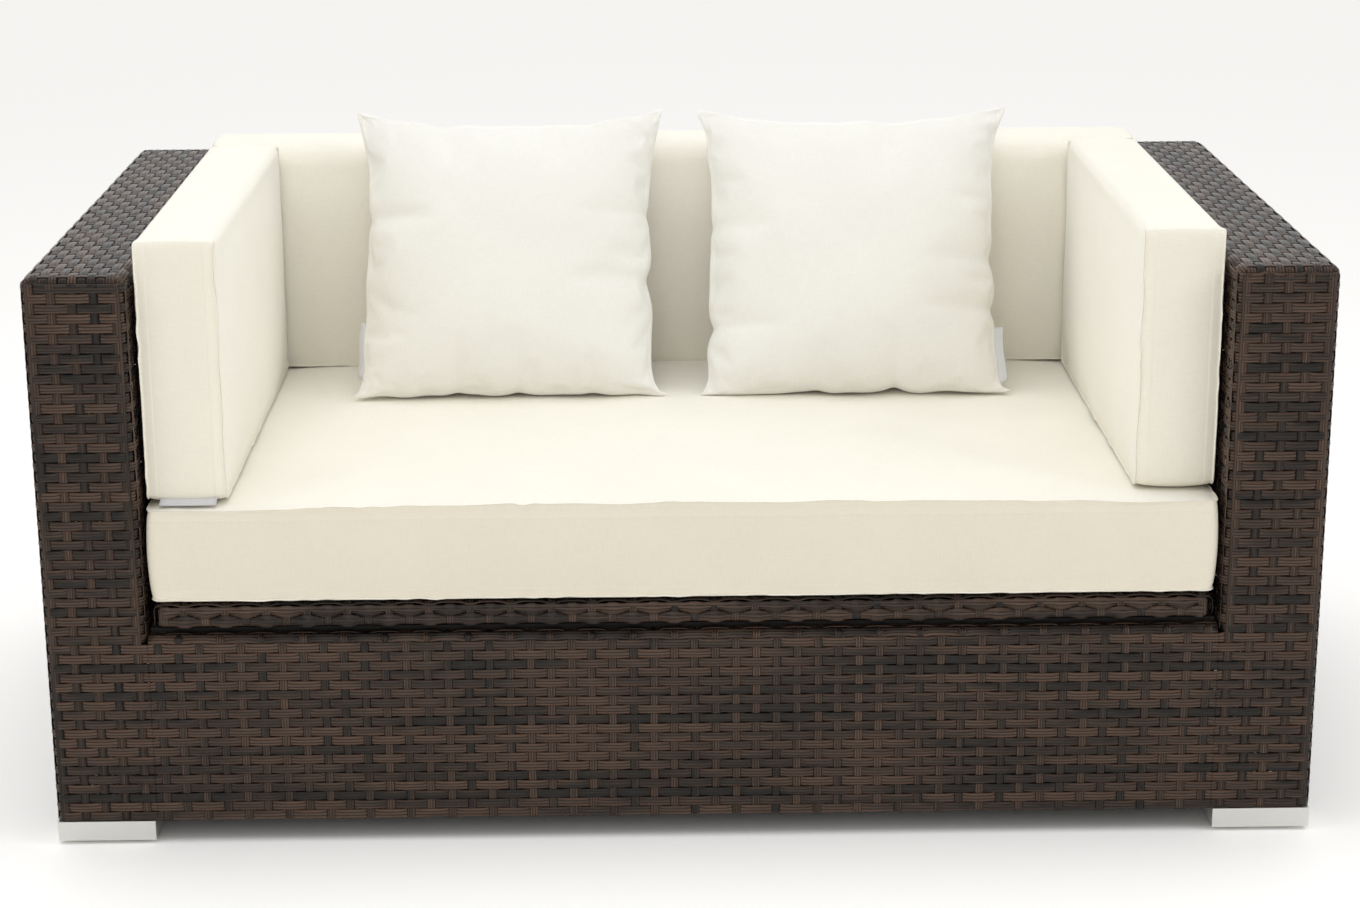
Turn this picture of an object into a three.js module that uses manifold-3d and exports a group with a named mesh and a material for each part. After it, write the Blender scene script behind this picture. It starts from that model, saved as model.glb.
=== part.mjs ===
// Woven garden sofa with a cushion box under its lift-up seat.
// Millimetres, +Z up, the front faces -Y, the origin lies on the floor under the middle.

import * as THREE from "three";
import { mergeVertices } from "three/addons/utils/BufferGeometryUtils.js";
import Module from "manifold-3d";

const wasm = await Module();
wasm.setup();

// Woven body
const BODY_WIDTH = 1550;
const BODY_DEPTH = 855;
const BODY_HEIGHT = 716;
const ARM_WIDTH = 125;
const BACK_THICKNESS = 80;
const SKIRT_HEIGHT = 30;
const BASE_HEIGHT = 271;
const WEAVE = 4;
const FIT_GAP = 0.3;

// Frame under the weave
const TUBE_RADIUS = 11;
const RAIL_WIDTH = 30;
const SEAT_RAIL_HEIGHT = 40;
const HINGE_RAIL_WIDTH = 50;
const FLAT_RAIL_HEIGHT = 20;
const BACK_POSTS = 4;
const FRONT_POSTS = 3;
const BEARERS = 3;
const WRAP_LEG = 16;
const WINDOW_SILL = 34;

// Cushion box
const TRAY_WALL = 3;
const TRAY_SIDE_ROOM = 5;
const DRAIN_RADIUS = 6;
const DRAIN_COLUMNS = 3;

// Feet and glides
const FOOT_WIDTH = 120;
const FOOT_DEPTH = 60;
const FOOT_SETBACK = 2;
const FOOT_WALL = 3;
const GLIDE_HEIGHT = 5;
const GLIDE_RADIUS = 15;
const GLIDE_STEM_RADIUS = 4;
const GLIDE_STEM_LENGTH = 9;
const GLIDE_FROM_END = 26;

// Seat lid
const LID_GAP = 11;
const LID_THICKNESS = 28;
const LID_SIDE_GAP = 7;
const LID_EDGE_RADIUS = 12;
const LID_RAIL_WIDTH = 30;
const LID_RAIL_SETBACK = 4;
const LID_SLATS = 4;
const LID_SLAT_WIDTH = 40;
const LID_SLAT_HEIGHT = 8;
const LID_REAR_GAP = 37.5;
const BUMPER_RADIUS = 8;
const BUMPER_FROM_FRONT = 77;

// Hinges
const HINGES = 3;
const LEAF_LENGTH = 64;
const LEAF_WIDTH = 34;
const LEAF_THICKNESS = 2;
const HINGE_PIN_RADIUS = 2.5;
const HINGE_SETBACK = 2;
const HINGE_END_ROOM = 170;

// Slotted lid stays
const LID_OPEN_DEGREES = 75;
const STAY_REACH = 120;
const STAY_FRAME_DEGREES = 55;
const STAY_DROP = 12;
const STAY_THICKNESS = 3;
const STAY_HALF_WIDTH = 9;
const STUD_RADIUS = 4;
const STUD_HEAD_RADIUS = 7;
const STUD_HEAD_THICKNESS = 3;
const STAY_END_ROOM = 10;
const STAY_SIDE_ROOM = 2;
const BRACKET_THICKNESS = 3;
const BRACKET_HALF_WIDTH = 15;
const BRACKET_FLANGE_WIDTH = 28;
const BRACKET_SIDE_ROOM = 10;

// Frame bolts
const BOLT_RADIUS = 4;
const BOLT_HEAD_RADIUS = 6.5;
const BOLT_HEAD_HEIGHT = 5;
const BOLT_GRIP_PAST_AXIS = 3;
const BACK_BOLT_FROM_SKIRT = 150;
const BACK_BOLT_FROM_TOP = 116;
const RAIL_BOLT_FROM_FRONT = 137.5;
const RAIL_BOLT_FROM_BACK = 197.5;

// Cushions
const SEAT_CUSHION_THICKNESS = 120;
const CUSHION_SIDE_GAP = 3;
const SIDE_CUSHION_THICKNESS = 102;
const BACK_CUSHION_THICKNESS = 104;
const UPRIGHT_HEIGHT = 325;
const UPRIGHT_GAP = 3;
const LEFT_CUSHION_INSET = 22;
const RIGHT_CUSHION_INSET = 40;
const SEAT_FRONT_INSET = 2;
const SEAT_REAR_GAP = 5;
const EDGE_ROLL = 12;
const SEAM_PROUD = 2;
const CUSHION_CROWN = 8;
const CUSHION_DRAW_IN = 5;
const BORDER_BULGE = 3;
const BACK_TOP_ROLL = 26;
const SEAT_CROWN = 6;
const SEAT_CELLS = [18, 11];
const BACK_CELLS = [18, 7];
const SIDE_CELLS = [11, 7];

// Scatter pillows
const PILLOW_WIDTH = 426;
const PILLOW_HEIGHT = 400;
const PILLOW_THICKNESS = 150;
const PILLOW_DRAW_IN = 23;
const PILLOW_LEAN_DEGREES = 22;
const LEFT_PILLOW_X = -226;
const RIGHT_PILLOW_X = 243;

// Facets
const TUBE_SIDES = 8;
const PIN_SIDES = 12;
const HEX_SIDES = 6;
const ARC_DIVISIONS = 2;
const BEAD_RINGS = 4;
const PILLOW_CELLS = 14;
const OVERRUN = 1;

// Places that follow from the sizes above
const FRONT = -BODY_DEPTH / 2;
const REAR = BODY_DEPTH / 2;
const ARM_OUTER = BODY_WIDTH / 2;
const ARM_INNER = ARM_OUTER - ARM_WIDTH;
const BACK_FRONT = REAR - BACK_THICKNESS;
const SKIN = WEAVE + FIT_GAP;
const EDGE_RADIUS = SKIN + TUBE_RADIUS;
const TOP_TUBE_Z = BODY_HEIGHT - EDGE_RADIUS;
const LOW_TUBE_Z = SKIRT_HEIGHT + TUBE_RADIUS;
const SEAT_RAIL_Z = BASE_HEIGHT - SEAT_RAIL_HEIGHT / 2;
const BAY_HALF_WIDTH = ARM_INNER - FIT_GAP;
const PANEL_REAR = FRONT + 2 * EDGE_RADIUS;
const BAY_FRONT = PANEL_REAR + FIT_GAP;
const BAY_REAR = BACK_FRONT - FIT_GAP;
const LID_BOTTOM = BASE_HEIGHT + LID_GAP;
const LID_TOP = LID_BOTTOM + LID_THICKNESS;
const LID_REAR = BACK_FRONT - LID_REAR_GAP;
const LID_HALF_WIDTH = ARM_INNER - LID_SIDE_GAP;
const LID_RAIL_OUTER = LID_HALF_WIDTH - WEAVE - LID_RAIL_SETBACK;
const HINGE_Y = LID_REAR + HINGE_SETBACK;
const HINGE_Z = BASE_HEIGHT + LID_GAP / 2;
const BARREL_RADIUS = LID_GAP / 2 - FIT_GAP;
const RAIL_INNER = BAY_HALF_WIDTH - RAIL_WIDTH;
const CUSHION_HALF_WIDTH = ARM_INNER - CUSHION_SIDE_GAP;
const SEAT_FRONT = FRONT + SEAT_FRONT_INSET;
const SEAT_CUSHION_DEPTH = BACK_FRONT - SEAT_REAR_GAP - SEAT_FRONT;
const SEAT_TOP = LID_TOP + FIT_GAP + SEAT_CUSHION_THICKNESS;
const UPRIGHT_BOTTOM = SEAT_TOP + FIT_GAP;

// Materials
const MATERIALS = {
  weave: new THREE.MeshStandardMaterial({ color: 0x55483f, roughness: 0.5, metalness: 0 }),
  frame: new THREE.MeshStandardMaterial({ color: 0x3c3a38, roughness: 0.5, metalness: 0.6 }),
  tray: new THREE.MeshStandardMaterial({ color: 0x1d1d1e, roughness: 0.6, metalness: 0 }),
  foot: new THREE.MeshStandardMaterial({ color: 0xb9bcc0, roughness: 0.35, metalness: 1 }),
  glide: new THREE.MeshStandardMaterial({ color: 0x141414, roughness: 0.7, metalness: 0 }),
  rubber: new THREE.MeshStandardMaterial({ color: 0x1a1a1a, roughness: 0.85, metalness: 0 }),
  zinc: new THREE.MeshStandardMaterial({ color: 0xa9abac, roughness: 0.35, metalness: 1 }),
  cushion: new THREE.MeshStandardMaterial({ color: 0xf4f0e4, roughness: 0.9, metalness: 0 }),
};

// A closed mesh becomes a solid that can be joined and cut. Faces that close to a line go.
function solidOf(geometry) {
  geometry.deleteAttribute("normal");
  geometry.deleteAttribute("uv");
  const merged = mergeVertices(geometry);
  const corners = Array.from(merged.index.array);
  const triangles = [];
  for (let at = 0; at < corners.length; at += 3) {
    const [a, b, c] = corners.slice(at, at + 3);
    if (a !== b && b !== c && c !== a) triangles.push(a, b, c);
  }
  return new wasm.Manifold(new wasm.Mesh({
    numProp: 3,
    vertProperties: merged.attributes.position.array,
    triVerts: new Uint32Array(triangles),
  }));
}

// A solid goes back to a mesh's geometry.
function geometryOf(solid) {
  const mesh = solid.getMesh();
  const geometry = new THREE.BufferGeometry();
  geometry.setAttribute("position", new THREE.BufferAttribute(mesh.vertProperties, 3));
  geometry.setIndex(new THREE.BufferAttribute(mesh.triVerts, 1));
  geometry.computeVertexNormals();
  return geometry;
}

function join(solids) {
  return solids.reduce((whole, next) => whole.add(next));
}

function cut(solid, tools) {
  return tools.reduce((whole, tool) => whole.subtract(tool), solid);
}

// A box between two corners, each [x, y, z].
function block(low, high) {
  const size = high.map((value, axis) => value - low[axis]);
  const middle = high.map((value, axis) => (value + low[axis]) / 2);
  return solidOf(new THREE.BoxGeometry(...size).translate(...middle));
}

// A round bar from one point to another.
function bar(start, end, radius, sides = PIN_SIDES) {
  const from = new THREE.Vector3(...start);
  const run = new THREE.Vector3(...end).sub(from);
  const turn = new THREE.Quaternion();
  turn.setFromUnitVectors(new THREE.Vector3(0, 1, 0), run.clone().normalize());
  const geometry = new THREE.CylinderGeometry(radius, radius, run.length(), sides);
  const middle = from.addScaledVector(run, 1 / 2);
  return solidOf(geometry.applyQuaternion(turn).translate(middle.x, middle.y, middle.z));
}

// A ball that fills the corner where tubes meet.
function bead(point) {
  const ball = new THREE.SphereGeometry(TUBE_RADIUS, TUBE_SIDES, BEAD_RINGS);
  return solidOf(ball.rotateX(Math.PI / 2).translate(...point));
}

// A rectangle with its chosen corners rounded, in the order of a walk round it.
function outline(left, right, bottom, top, radii) {
  const [lowLeft, lowRight, highRight, highLeft] = radii;
  const shape = new THREE.Shape();
  const quarter = Math.PI / 2;
  const corner = (x, y, radius, from) => {
    if (radius > 0) shape.absarc(x, y, radius, from, from + quarter);
    else shape.lineTo(x, y);
  };
  shape.moveTo(left + lowLeft, bottom);
  corner(right - lowRight, bottom + lowRight, lowRight, -quarter);
  corner(right - highRight, top - highRight, highRight, 0);
  corner(left + highLeft, top - highLeft, highLeft, quarter);
  corner(left + lowLeft, bottom + lowLeft, lowLeft, 2 * quarter);
  return shape;
}

// An outline in Y and Z drawn out along X, from one place to another.
function drawnAlongX(shape, from, to) {
  const options = { depth: to - from, bevelEnabled: false, curveSegments: ARC_DIVISIONS };
  const turn = new THREE.Matrix4().makeBasis(
    new THREE.Vector3(0, 1, 0), new THREE.Vector3(0, 0, 1), new THREE.Vector3(1, 0, 0));
  const geometry = new THREE.ExtrudeGeometry(shape, options).applyMatrix4(turn);
  return solidOf(geometry.translate(from, 0, 0));
}

// An outline in X and Z drawn out along Y.
function drawnAlongY(shape, from, to) {
  const options = { depth: to - from, bevelEnabled: false, curveSegments: ARC_DIVISIONS };
  const geometry = new THREE.ExtrudeGeometry(shape, options).rotateX(Math.PI / 2);
  return solidOf(geometry.translate(0, to, 0));
}

// An outline in X and Y drawn out along Z.
function drawnAlongZ(shape, from, to) {
  const options = { depth: to - from, bevelEnabled: false, curveSegments: ARC_DIVISIONS };
  return solidOf(new THREE.ExtrudeGeometry(shape, options).translate(0, 0, from));
}

// A block whose upright and top edges are rounded, as weave bends round a tube.
function softBlock(low, high, radius) {
  const upright = [radius, radius, radius, radius];
  const topOnly = [0, 0, radius, radius];
  const plan = outline(low[0], high[0], low[1], high[1], upright);
  const side = outline(low[1], high[1], low[2], high[2], topOnly);
  const face = outline(low[0], high[0], low[2], high[2], topOnly);
  return drawnAlongZ(plan, low[2], high[2])
    .intersect(drawnAlongX(side, low[0], high[0]))
    .intersect(drawnAlongY(face, low[1], high[1]));
}

// A woven shell, one weave thick, open underneath.
function wovenShell(low, high, radius) {
  const inner = softBlock(
    [low[0] + WEAVE, low[1] + WEAVE, low[2] - OVERRUN],
    [high[0] - WEAVE, high[1] - WEAVE, high[2] - WEAVE],
    radius - WEAVE);
  return softBlock(low, high, radius).subtract(inner);
}

// Evenly spread places, both ends included.
function spread(from, to, count) {
  return Array.from({ length: count }, (_, index) => from + ((to - from) * index) / (count - 1));
}

// Evenly spread places between two ends, the ends left out.
function between(from, to, count) {
  return spread(from, to, count + 2).slice(1, -1);
}

function onSide(side, low, high) {
  const xs = [side * low[0], side * high[0]].sort((a, b) => a - b);
  return block([xs[0], low[1], low[2]], [xs[1], high[1], high[2]]);
}

// Bolts, all driven outwards along X into an arm's inner tubes
const ARM_TUBE_INNER = ARM_INNER + EDGE_RADIUS;
const ARM_TUBE_OUTER = ARM_OUTER - EDGE_RADIUS;
const BACK_POST_X = BAY_HALF_WIDTH - TUBE_RADIUS;
const REAR_TUBE_Y = REAR - EDGE_RADIUS;
const BACK_BOLT_HEIGHTS = [SKIRT_HEIGHT + BACK_BOLT_FROM_SKIRT, BODY_HEIGHT - BACK_BOLT_FROM_TOP];
const RAIL_BOLT_PLACES = [FRONT + RAIL_BOLT_FROM_FRONT, BACK_FRONT - RAIL_BOLT_FROM_BACK];
const BOLTS = [
  ...BACK_BOLT_HEIGHTS.map((z, index) => ({
    name: `back_bolt_${index + 1}`, y: REAR_TUBE_Y, z, seat: BACK_POST_X - TUBE_RADIUS,
  })),
  ...RAIL_BOLT_PLACES.map((y, index) => ({
    name: `seat_bolt_${index + 1}`, y, z: SEAT_RAIL_Z, seat: RAIL_INNER,
  })),
  ...RAIL_BOLT_PLACES.map((y, index) => ({
    name: `floor_bolt_${index + 1}`, y, z: SKIRT_HEIGHT + FLAT_RAIL_HEIGHT / 2, seat: RAIL_INNER,
  })),
];

function boltSolid(side, bolt) {
  const seat = bolt.seat - FIT_GAP;
  const tip = ARM_TUBE_INNER + BOLT_GRIP_PAST_AXIS;
  const place = (x) => [side * x, bolt.y, bolt.z];
  const head = bar(place(seat - BOLT_HEAD_HEIGHT), place(seat), BOLT_HEAD_RADIUS, HEX_SIDES);
  return head.add(bar(place(seat - FIT_GAP), place(tip), BOLT_RADIUS, TUBE_SIDES));
}

// The running room that each bolt needs, also cut from what it passes through.
function boltRooms(side) {
  const tip = ARM_TUBE_INNER + BOLT_GRIP_PAST_AXIS + FIT_GAP;
  return BOLTS.map((bolt) => bar(
    [side * (bolt.seat - OVERRUN), bolt.y, bolt.z],
    [side * tip, bolt.y, bolt.z], BOLT_RADIUS + FIT_GAP, TUBE_SIDES));
}

const LEFT_ROOMS = boltRooms(-1);
const RIGHT_ROOMS = boltRooms(1);
const ALL_ROOMS = [...LEFT_ROOMS, ...RIGHT_ROOMS];

// Arms
function armSkin(side) {
  const xs = [side * ARM_INNER, side * ARM_OUTER].sort((a, b) => a - b);
  const shell = wovenShell([xs[0], FRONT, SKIRT_HEIGHT], [xs[1], REAR, BODY_HEIGHT], EDGE_RADIUS);
  const window = onSide(side,
    [ARM_INNER - OVERRUN, BAY_FRONT, SKIRT_HEIGHT + WINDOW_SILL],
    [ARM_INNER + WEAVE + OVERRUN, BAY_REAR, BASE_HEIGHT]);
  return cut(shell, [window, ...(side > 0 ? RIGHT_ROOMS : LEFT_ROOMS)]);
}

// A welded box of round tubes: rails along the top and bottom, a post at each corner.
function tubeCage(xs, ys, zs) {
  const parts = [];
  for (const z of zs) {
    for (const y of ys) parts.push(bar([xs[0], y, z], [xs[1], y, z], TUBE_RADIUS, TUBE_SIDES));
    for (const x of xs) parts.push(bar([x, ys[0], z], [x, ys[1], z], TUBE_RADIUS, TUBE_SIDES));
    for (const x of xs) parts.push(...ys.map((y) => bead([x, y, z])));
  }
  for (const x of xs) {
    for (const y of ys) {
      parts.push(bar([x, y, zs[0]], [x, y, zs[1]], TUBE_RADIUS, TUBE_SIDES));
    }
  }
  return join(parts);
}

function armFrame(side) {
  const xs = [side * ARM_TUBE_INNER, side * ARM_TUBE_OUTER];
  const ys = [FRONT + EDGE_RADIUS, REAR_TUBE_Y];
  const cage = tubeCage(xs, ys, [LOW_TUBE_Z, TOP_TUBE_Z]);
  const rail = (x) => bar([x, ys[0], SEAT_RAIL_Z], [x, ys[1], SEAT_RAIL_Z], TUBE_RADIUS, TUBE_SIDES);
  return cut(join([cage, ...xs.map(rail)]), side > 0 ? RIGHT_ROOMS : LEFT_ROOMS);
}

// Back
function backSkin() {
  const rounded = [0, 0, EDGE_RADIUS, EDGE_RADIUS];
  const outer = outline(BACK_FRONT, REAR, SKIRT_HEIGHT, BODY_HEIGHT, rounded);
  const bend = EDGE_RADIUS - WEAVE;
  const inner = outline(
    BACK_FRONT + WEAVE, REAR - WEAVE, SKIRT_HEIGHT - OVERRUN, BODY_HEIGHT - WEAVE,
    [0, 0, bend, bend]);
  const shell = drawnAlongX(outer, -BAY_HALF_WIDTH, BAY_HALF_WIDTH);
  return shell.subtract(
    drawnAlongX(inner, -BAY_HALF_WIDTH - OVERRUN, BAY_HALF_WIDTH + OVERRUN));
}

function backFrame() {
  const ys = [BACK_FRONT + EDGE_RADIUS, REAR_TUBE_Y];
  const cage = tubeCage([-BACK_POST_X, BACK_POST_X], ys, [LOW_TUBE_Z, TOP_TUBE_Z]);
  const posts = between(-BACK_POST_X, BACK_POST_X, BACK_POSTS).map((x) =>
    bar([x, REAR_TUBE_Y, LOW_TUBE_Z], [x, REAR_TUBE_Y, TOP_TUBE_Z], TUBE_RADIUS, TUBE_SIDES));
  return cut(join([cage, ...posts]), ALL_ROOMS);
}

// Front panel under the seat
function frontSkin() {
  const inner = FRONT + WEAVE;
  const rear = PANEL_REAR;
  const bend = EDGE_RADIUS - WEAVE;
  const outer = outline(FRONT, rear, SKIRT_HEIGHT, BASE_HEIGHT, [0, 0, EDGE_RADIUS, EDGE_RADIUS]);
  const hollow = outline(
    inner, rear - WEAVE, SKIRT_HEIGHT - OVERRUN, BASE_HEIGHT - WEAVE, [0, 0, bend, bend]);
  const shell = drawnAlongX(outer, -BAY_HALF_WIDTH, BAY_HALF_WIDTH).subtract(
    drawnAlongX(hollow, -BAY_HALF_WIDTH - OVERRUN, BAY_HALF_WIDTH + OVERRUN));
  const openRear = block(
    [-BAY_HALF_WIDTH - OVERRUN, inner, SKIRT_HEIGHT - OVERRUN],
    [BAY_HALF_WIDTH + OVERRUN, rear + OVERRUN, BASE_HEIGHT - EDGE_RADIUS - WRAP_LEG]);
  return shell.subtract(openRear);
}

function frontFrame() {
  const y = FRONT + EDGE_RADIUS;
  const high = BASE_HEIGHT - EDGE_RADIUS;
  const xs = spread(-BACK_POST_X, BACK_POST_X, FRONT_POSTS + 2);
  const rails = [LOW_TUBE_Z, high].map((z) =>
    bar([-BACK_POST_X, y, z], [BACK_POST_X, y, z], TUBE_RADIUS, TUBE_SIDES));
  const posts = xs.map((x) => bar([x, y, LOW_TUBE_Z], [x, y, high], TUBE_RADIUS, TUBE_SIDES));
  const beads = [-BACK_POST_X, BACK_POST_X].flatMap((x) =>
    [LOW_TUBE_Z, high].map((z) => bead([x, y, z])));
  return join([...rails, ...posts, ...beads]);
}

// Seat frame: a ring of flat-sided rails that carries the lid.
function seatFrame() {
  const low = BASE_HEIGHT - SEAT_RAIL_HEIGHT;
  const sides = [-1, 1].map((side) => onSide(side,
    [RAIL_INNER, BAY_FRONT, low], [BAY_HALF_WIDTH, BAY_REAR, BASE_HEIGHT]));
  const front = block([-BAY_HALF_WIDTH, BAY_FRONT, low],
    [BAY_HALF_WIDTH, BAY_FRONT + RAIL_WIDTH, BASE_HEIGHT]);
  const rear = block([-BAY_HALF_WIDTH, BAY_REAR - HINGE_RAIL_WIDTH, BASE_HEIGHT - FLAT_RAIL_HEIGHT],
    [BAY_HALF_WIDTH, BAY_REAR, BASE_HEIGHT]);
  return cut(join([...sides, front, rear]), ALL_ROOMS);
}

// Floor frame: a ladder of flat-sided rails under the box.
function floorFrame() {
  const high = SKIRT_HEIGHT + FLAT_RAIL_HEIGHT;
  const sides = [-1, 1].map((side) => onSide(side,
    [RAIL_INNER, BAY_FRONT, SKIRT_HEIGHT], [BAY_HALF_WIDTH, BAY_REAR, high]));
  const cross = [BAY_FRONT, BAY_REAR - RAIL_WIDTH].map((y) =>
    block([-BAY_HALF_WIDTH, y, SKIRT_HEIGHT], [BAY_HALF_WIDTH, y + RAIL_WIDTH, high]));
  const bearers = between(-RAIL_INNER, RAIL_INNER, BEARERS).map((x) =>
    block([x - RAIL_WIDTH / 2, BAY_FRONT, SKIRT_HEIGHT], [x + RAIL_WIDTH / 2, BAY_REAR, high]));
  return cut(join([...sides, ...cross, ...bearers]), ALL_ROOMS);
}

// Cushion box: an open moulded tray between the two frames, with drain holes.
function storageTray() {
  const halfWidth = BAY_HALF_WIDTH - TRAY_SIDE_ROOM;
  const front = BAY_FRONT + FIT_GAP;
  const rear = BAY_REAR - FIT_GAP;
  const floor = SKIRT_HEIGHT + FLAT_RAIL_HEIGHT + FIT_GAP;
  const rim = BASE_HEIGHT - SEAT_RAIL_HEIGHT - FIT_GAP;
  const outer = block([-halfWidth, front, floor], [halfWidth, rear, rim]);
  const hollow = block(
    [-halfWidth + TRAY_WALL, front + TRAY_WALL, floor + TRAY_WALL],
    [halfWidth - TRAY_WALL, rear - TRAY_WALL, rim + OVERRUN]);
  const drains = between(-halfWidth, halfWidth, DRAIN_COLUMNS).flatMap((x) =>
    between(front, rear, 2).map((y) => bar(
      [x + RAIL_WIDTH, y, floor - OVERRUN], [x + RAIL_WIDTH, y, floor + TRAY_WALL + OVERRUN],
      DRAIN_RADIUS, TUBE_SIDES)));
  return cut(outer, [hollow, ...drains]);
}

// Feet
const FOOT_X = ARM_OUTER - FOOT_SETBACK - FOOT_WIDTH / 2;
const FOOT_TOP = SKIRT_HEIGHT - FIT_GAP;

function glidePlace(side, end) {
  return [side * (FOOT_X - FOOT_WIDTH / 2 + FOOT_DEPTH / 2), end * (REAR - GLIDE_FROM_END)];
}

// A foot is a short box section, closed outside and open towards the middle of the sofa.
function foot(side, end) {
  const ys = [end * REAR, end * (REAR - FOOT_DEPTH)].sort((a, b) => a - b);
  const xs = [side * FOOT_X - FOOT_WIDTH / 2, side * FOOT_X + FOOT_WIDTH / 2];
  const outer = block([xs[0], ys[0], GLIDE_HEIGHT], [xs[1], ys[1], FOOT_TOP]);
  const open = end > 0 ? [-OVERRUN, -FOOT_WALL] : [FOOT_WALL, OVERRUN];
  const hollow = block(
    [xs[0] + FOOT_WALL, ys[0] + open[0], GLIDE_HEIGHT + FOOT_WALL],
    [xs[1] - FOOT_WALL, ys[1] + open[1], FOOT_TOP - FOOT_WALL]);
  const [x, y] = glidePlace(side, end);
  const stemHole = bar([x, y, GLIDE_HEIGHT - OVERRUN], [x, y, GLIDE_HEIGHT + FOOT_WALL + OVERRUN],
    GLIDE_STEM_RADIUS + FIT_GAP);
  return cut(outer, [hollow, stemHole]);
}

function glide(side, end) {
  const [x, y] = glidePlace(side, end);
  const pad = bar([x, y, 0], [x, y, GLIDE_HEIGHT - FIT_GAP], GLIDE_RADIUS);
  return pad.add(bar([x, y, GLIDE_HEIGHT / 2], [x, y, GLIDE_HEIGHT + GLIDE_STEM_LENGTH],
    GLIDE_STEM_RADIUS));
}

// Lid
function lidSkin() {
  return wovenShell([-LID_HALF_WIDTH, FRONT, LID_BOTTOM],
    [LID_HALF_WIDTH, LID_REAR, LID_TOP], LID_EDGE_RADIUS);
}

function lidFrame() {
  const top = LID_TOP - SKIN - LID_RAIL_SETBACK;
  const front = FRONT + WEAVE + LID_RAIL_SETBACK;
  const rear = LID_REAR - WEAVE - LID_RAIL_SETBACK;
  const sides = [-1, 1].map((side) => onSide(side,
    [LID_RAIL_OUTER - LID_RAIL_WIDTH, front, LID_BOTTOM], [LID_RAIL_OUTER, rear, top]));
  const rails = [front, rear - LID_RAIL_WIDTH].map((y) =>
    block([-LID_RAIL_OUTER, y, LID_BOTTOM], [LID_RAIL_OUTER, y + LID_RAIL_WIDTH, top]));
  const slatTop = LID_TOP - SKIN;
  const slats = between(-LID_RAIL_OUTER, LID_RAIL_OUTER, LID_SLATS).map((x) =>
    block([x - LID_SLAT_WIDTH / 2, front + LID_EDGE_RADIUS, slatTop - LID_SLAT_HEIGHT],
      [x + LID_SLAT_WIDTH / 2, rear - LID_EDGE_RADIUS, slatTop]));
  return join([...sides, ...rails, ...slats]);
}

function bumper(side) {
  const x = side * (LID_RAIL_OUTER + RAIL_INNER) / 2;
  const y = FRONT + BUMPER_FROM_FRONT;
  return bar([x, y, BASE_HEIGHT + FIT_GAP], [x, y, LID_BOTTOM - FIT_GAP], BUMPER_RADIUS);
}

// Hinges: two outer knuckles on the fixed leaf, one between them on the moving leaf.
const KNUCKLE = LEAF_LENGTH / 3;

function hingeLeaf(x, moving) {
  const direction = moving ? -1 : 1;
  const contact = moving ? LID_BOTTOM - FIT_GAP : BASE_HEIGHT + FIT_GAP;
  const zs = [contact, contact + direction * LEAF_THICKNESS].sort((a, b) => a - b);
  const ys = [HINGE_Y, HINGE_Y + direction * LEAF_WIDTH].sort((a, b) => a - b);
  const plate = block([x - LEAF_LENGTH / 2, ys[0], zs[0]], [x + LEAF_LENGTH / 2, ys[1], zs[1]]);
  const ends = [-LEAF_LENGTH, -KNUCKLE, KNUCKLE, LEAF_LENGTH].map((length) => x + length / 2);
  const own = moving ? [[ends[1], ends[2]]] : [[ends[0], ends[1]], [ends[2], ends[3]]];
  const other = moving ? [[ends[0], ends[1]], [ends[2], ends[3]]] : [[ends[1], ends[2]]];
  const along = (from, to, radius) => bar([from, HINGE_Y, HINGE_Z], [to, HINGE_Y, HINGE_Z], radius);
  const tip = FIT_GAP / 2;
  const knuckles = own.map(([from, to]) => along(
    from + (from > ends[0] ? tip : 0), to - (to < ends[3] ? tip : 0), BARREL_RADIUS));
  const rooms = other.map(([from, to]) => along(
    from - (from > ends[0] ? tip : OVERRUN), to + (to < ends[3] ? tip : OVERRUN),
    BARREL_RADIUS + FIT_GAP));
  const bore = along(ends[0] - OVERRUN, ends[3] + OVERRUN, HINGE_PIN_RADIUS + FIT_GAP);
  return cut(join([cut(plate, rooms), ...knuckles]), [bore]);
}

function hingePin(x) {
  return bar([x - LEAF_LENGTH / 2, HINGE_Y, HINGE_Z], [x + LEAF_LENGTH / 2, HINGE_Y, HINGE_Z],
    HINGE_PIN_RADIUS);
}

// Lid stays. The pivot on the lid and the pin on the frame lie equally far from the hinge
// axis, so the stay turns half as far as the lid and its slot always runs over the pin.
const STAY_LID_ANGLE = Math.asin(STAY_DROP / STAY_REACH);
const STAY_FRAME_ANGLE = THREE.MathUtils.degToRad(STAY_FRAME_DEGREES);
const LID_OPEN_ANGLE = THREE.MathUtils.degToRad(LID_OPEN_DEGREES);

function fromHinge(angle) {
  const y = HINGE_Y - STAY_REACH * Math.cos(angle);
  return { y, z: HINGE_Z - STAY_REACH * Math.sin(angle) };
}

const STAY_PIVOT = fromHinge(STAY_LID_ANGLE);
const STAY_PIN = fromHinge(STAY_FRAME_ANGLE);
const STAY_CLOSED = 2 * STAY_REACH * Math.sin((STAY_FRAME_ANGLE - STAY_LID_ANGLE) / 2);
const STAY_OPEN = 2 * STAY_REACH
  * Math.sin((STAY_FRAME_ANGLE - STAY_LID_ANGLE + LID_OPEN_ANGLE) / 2);
const FRAME_PLATE_INNER = RAIL_INNER - FIT_GAP - BRACKET_THICKNESS;
const LID_WEB_INNER = FRAME_PLATE_INNER - BRACKET_SIDE_ROOM - BRACKET_THICKNESS;
const STAY_OUTER = LID_WEB_INNER - STAY_SIDE_ROOM;
const STAY_INNER = STAY_OUTER - STAY_THICKNESS;
const STUD_END = STAY_INNER - STAY_SIDE_ROOM - STUD_HEAD_THICKNESS;

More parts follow.
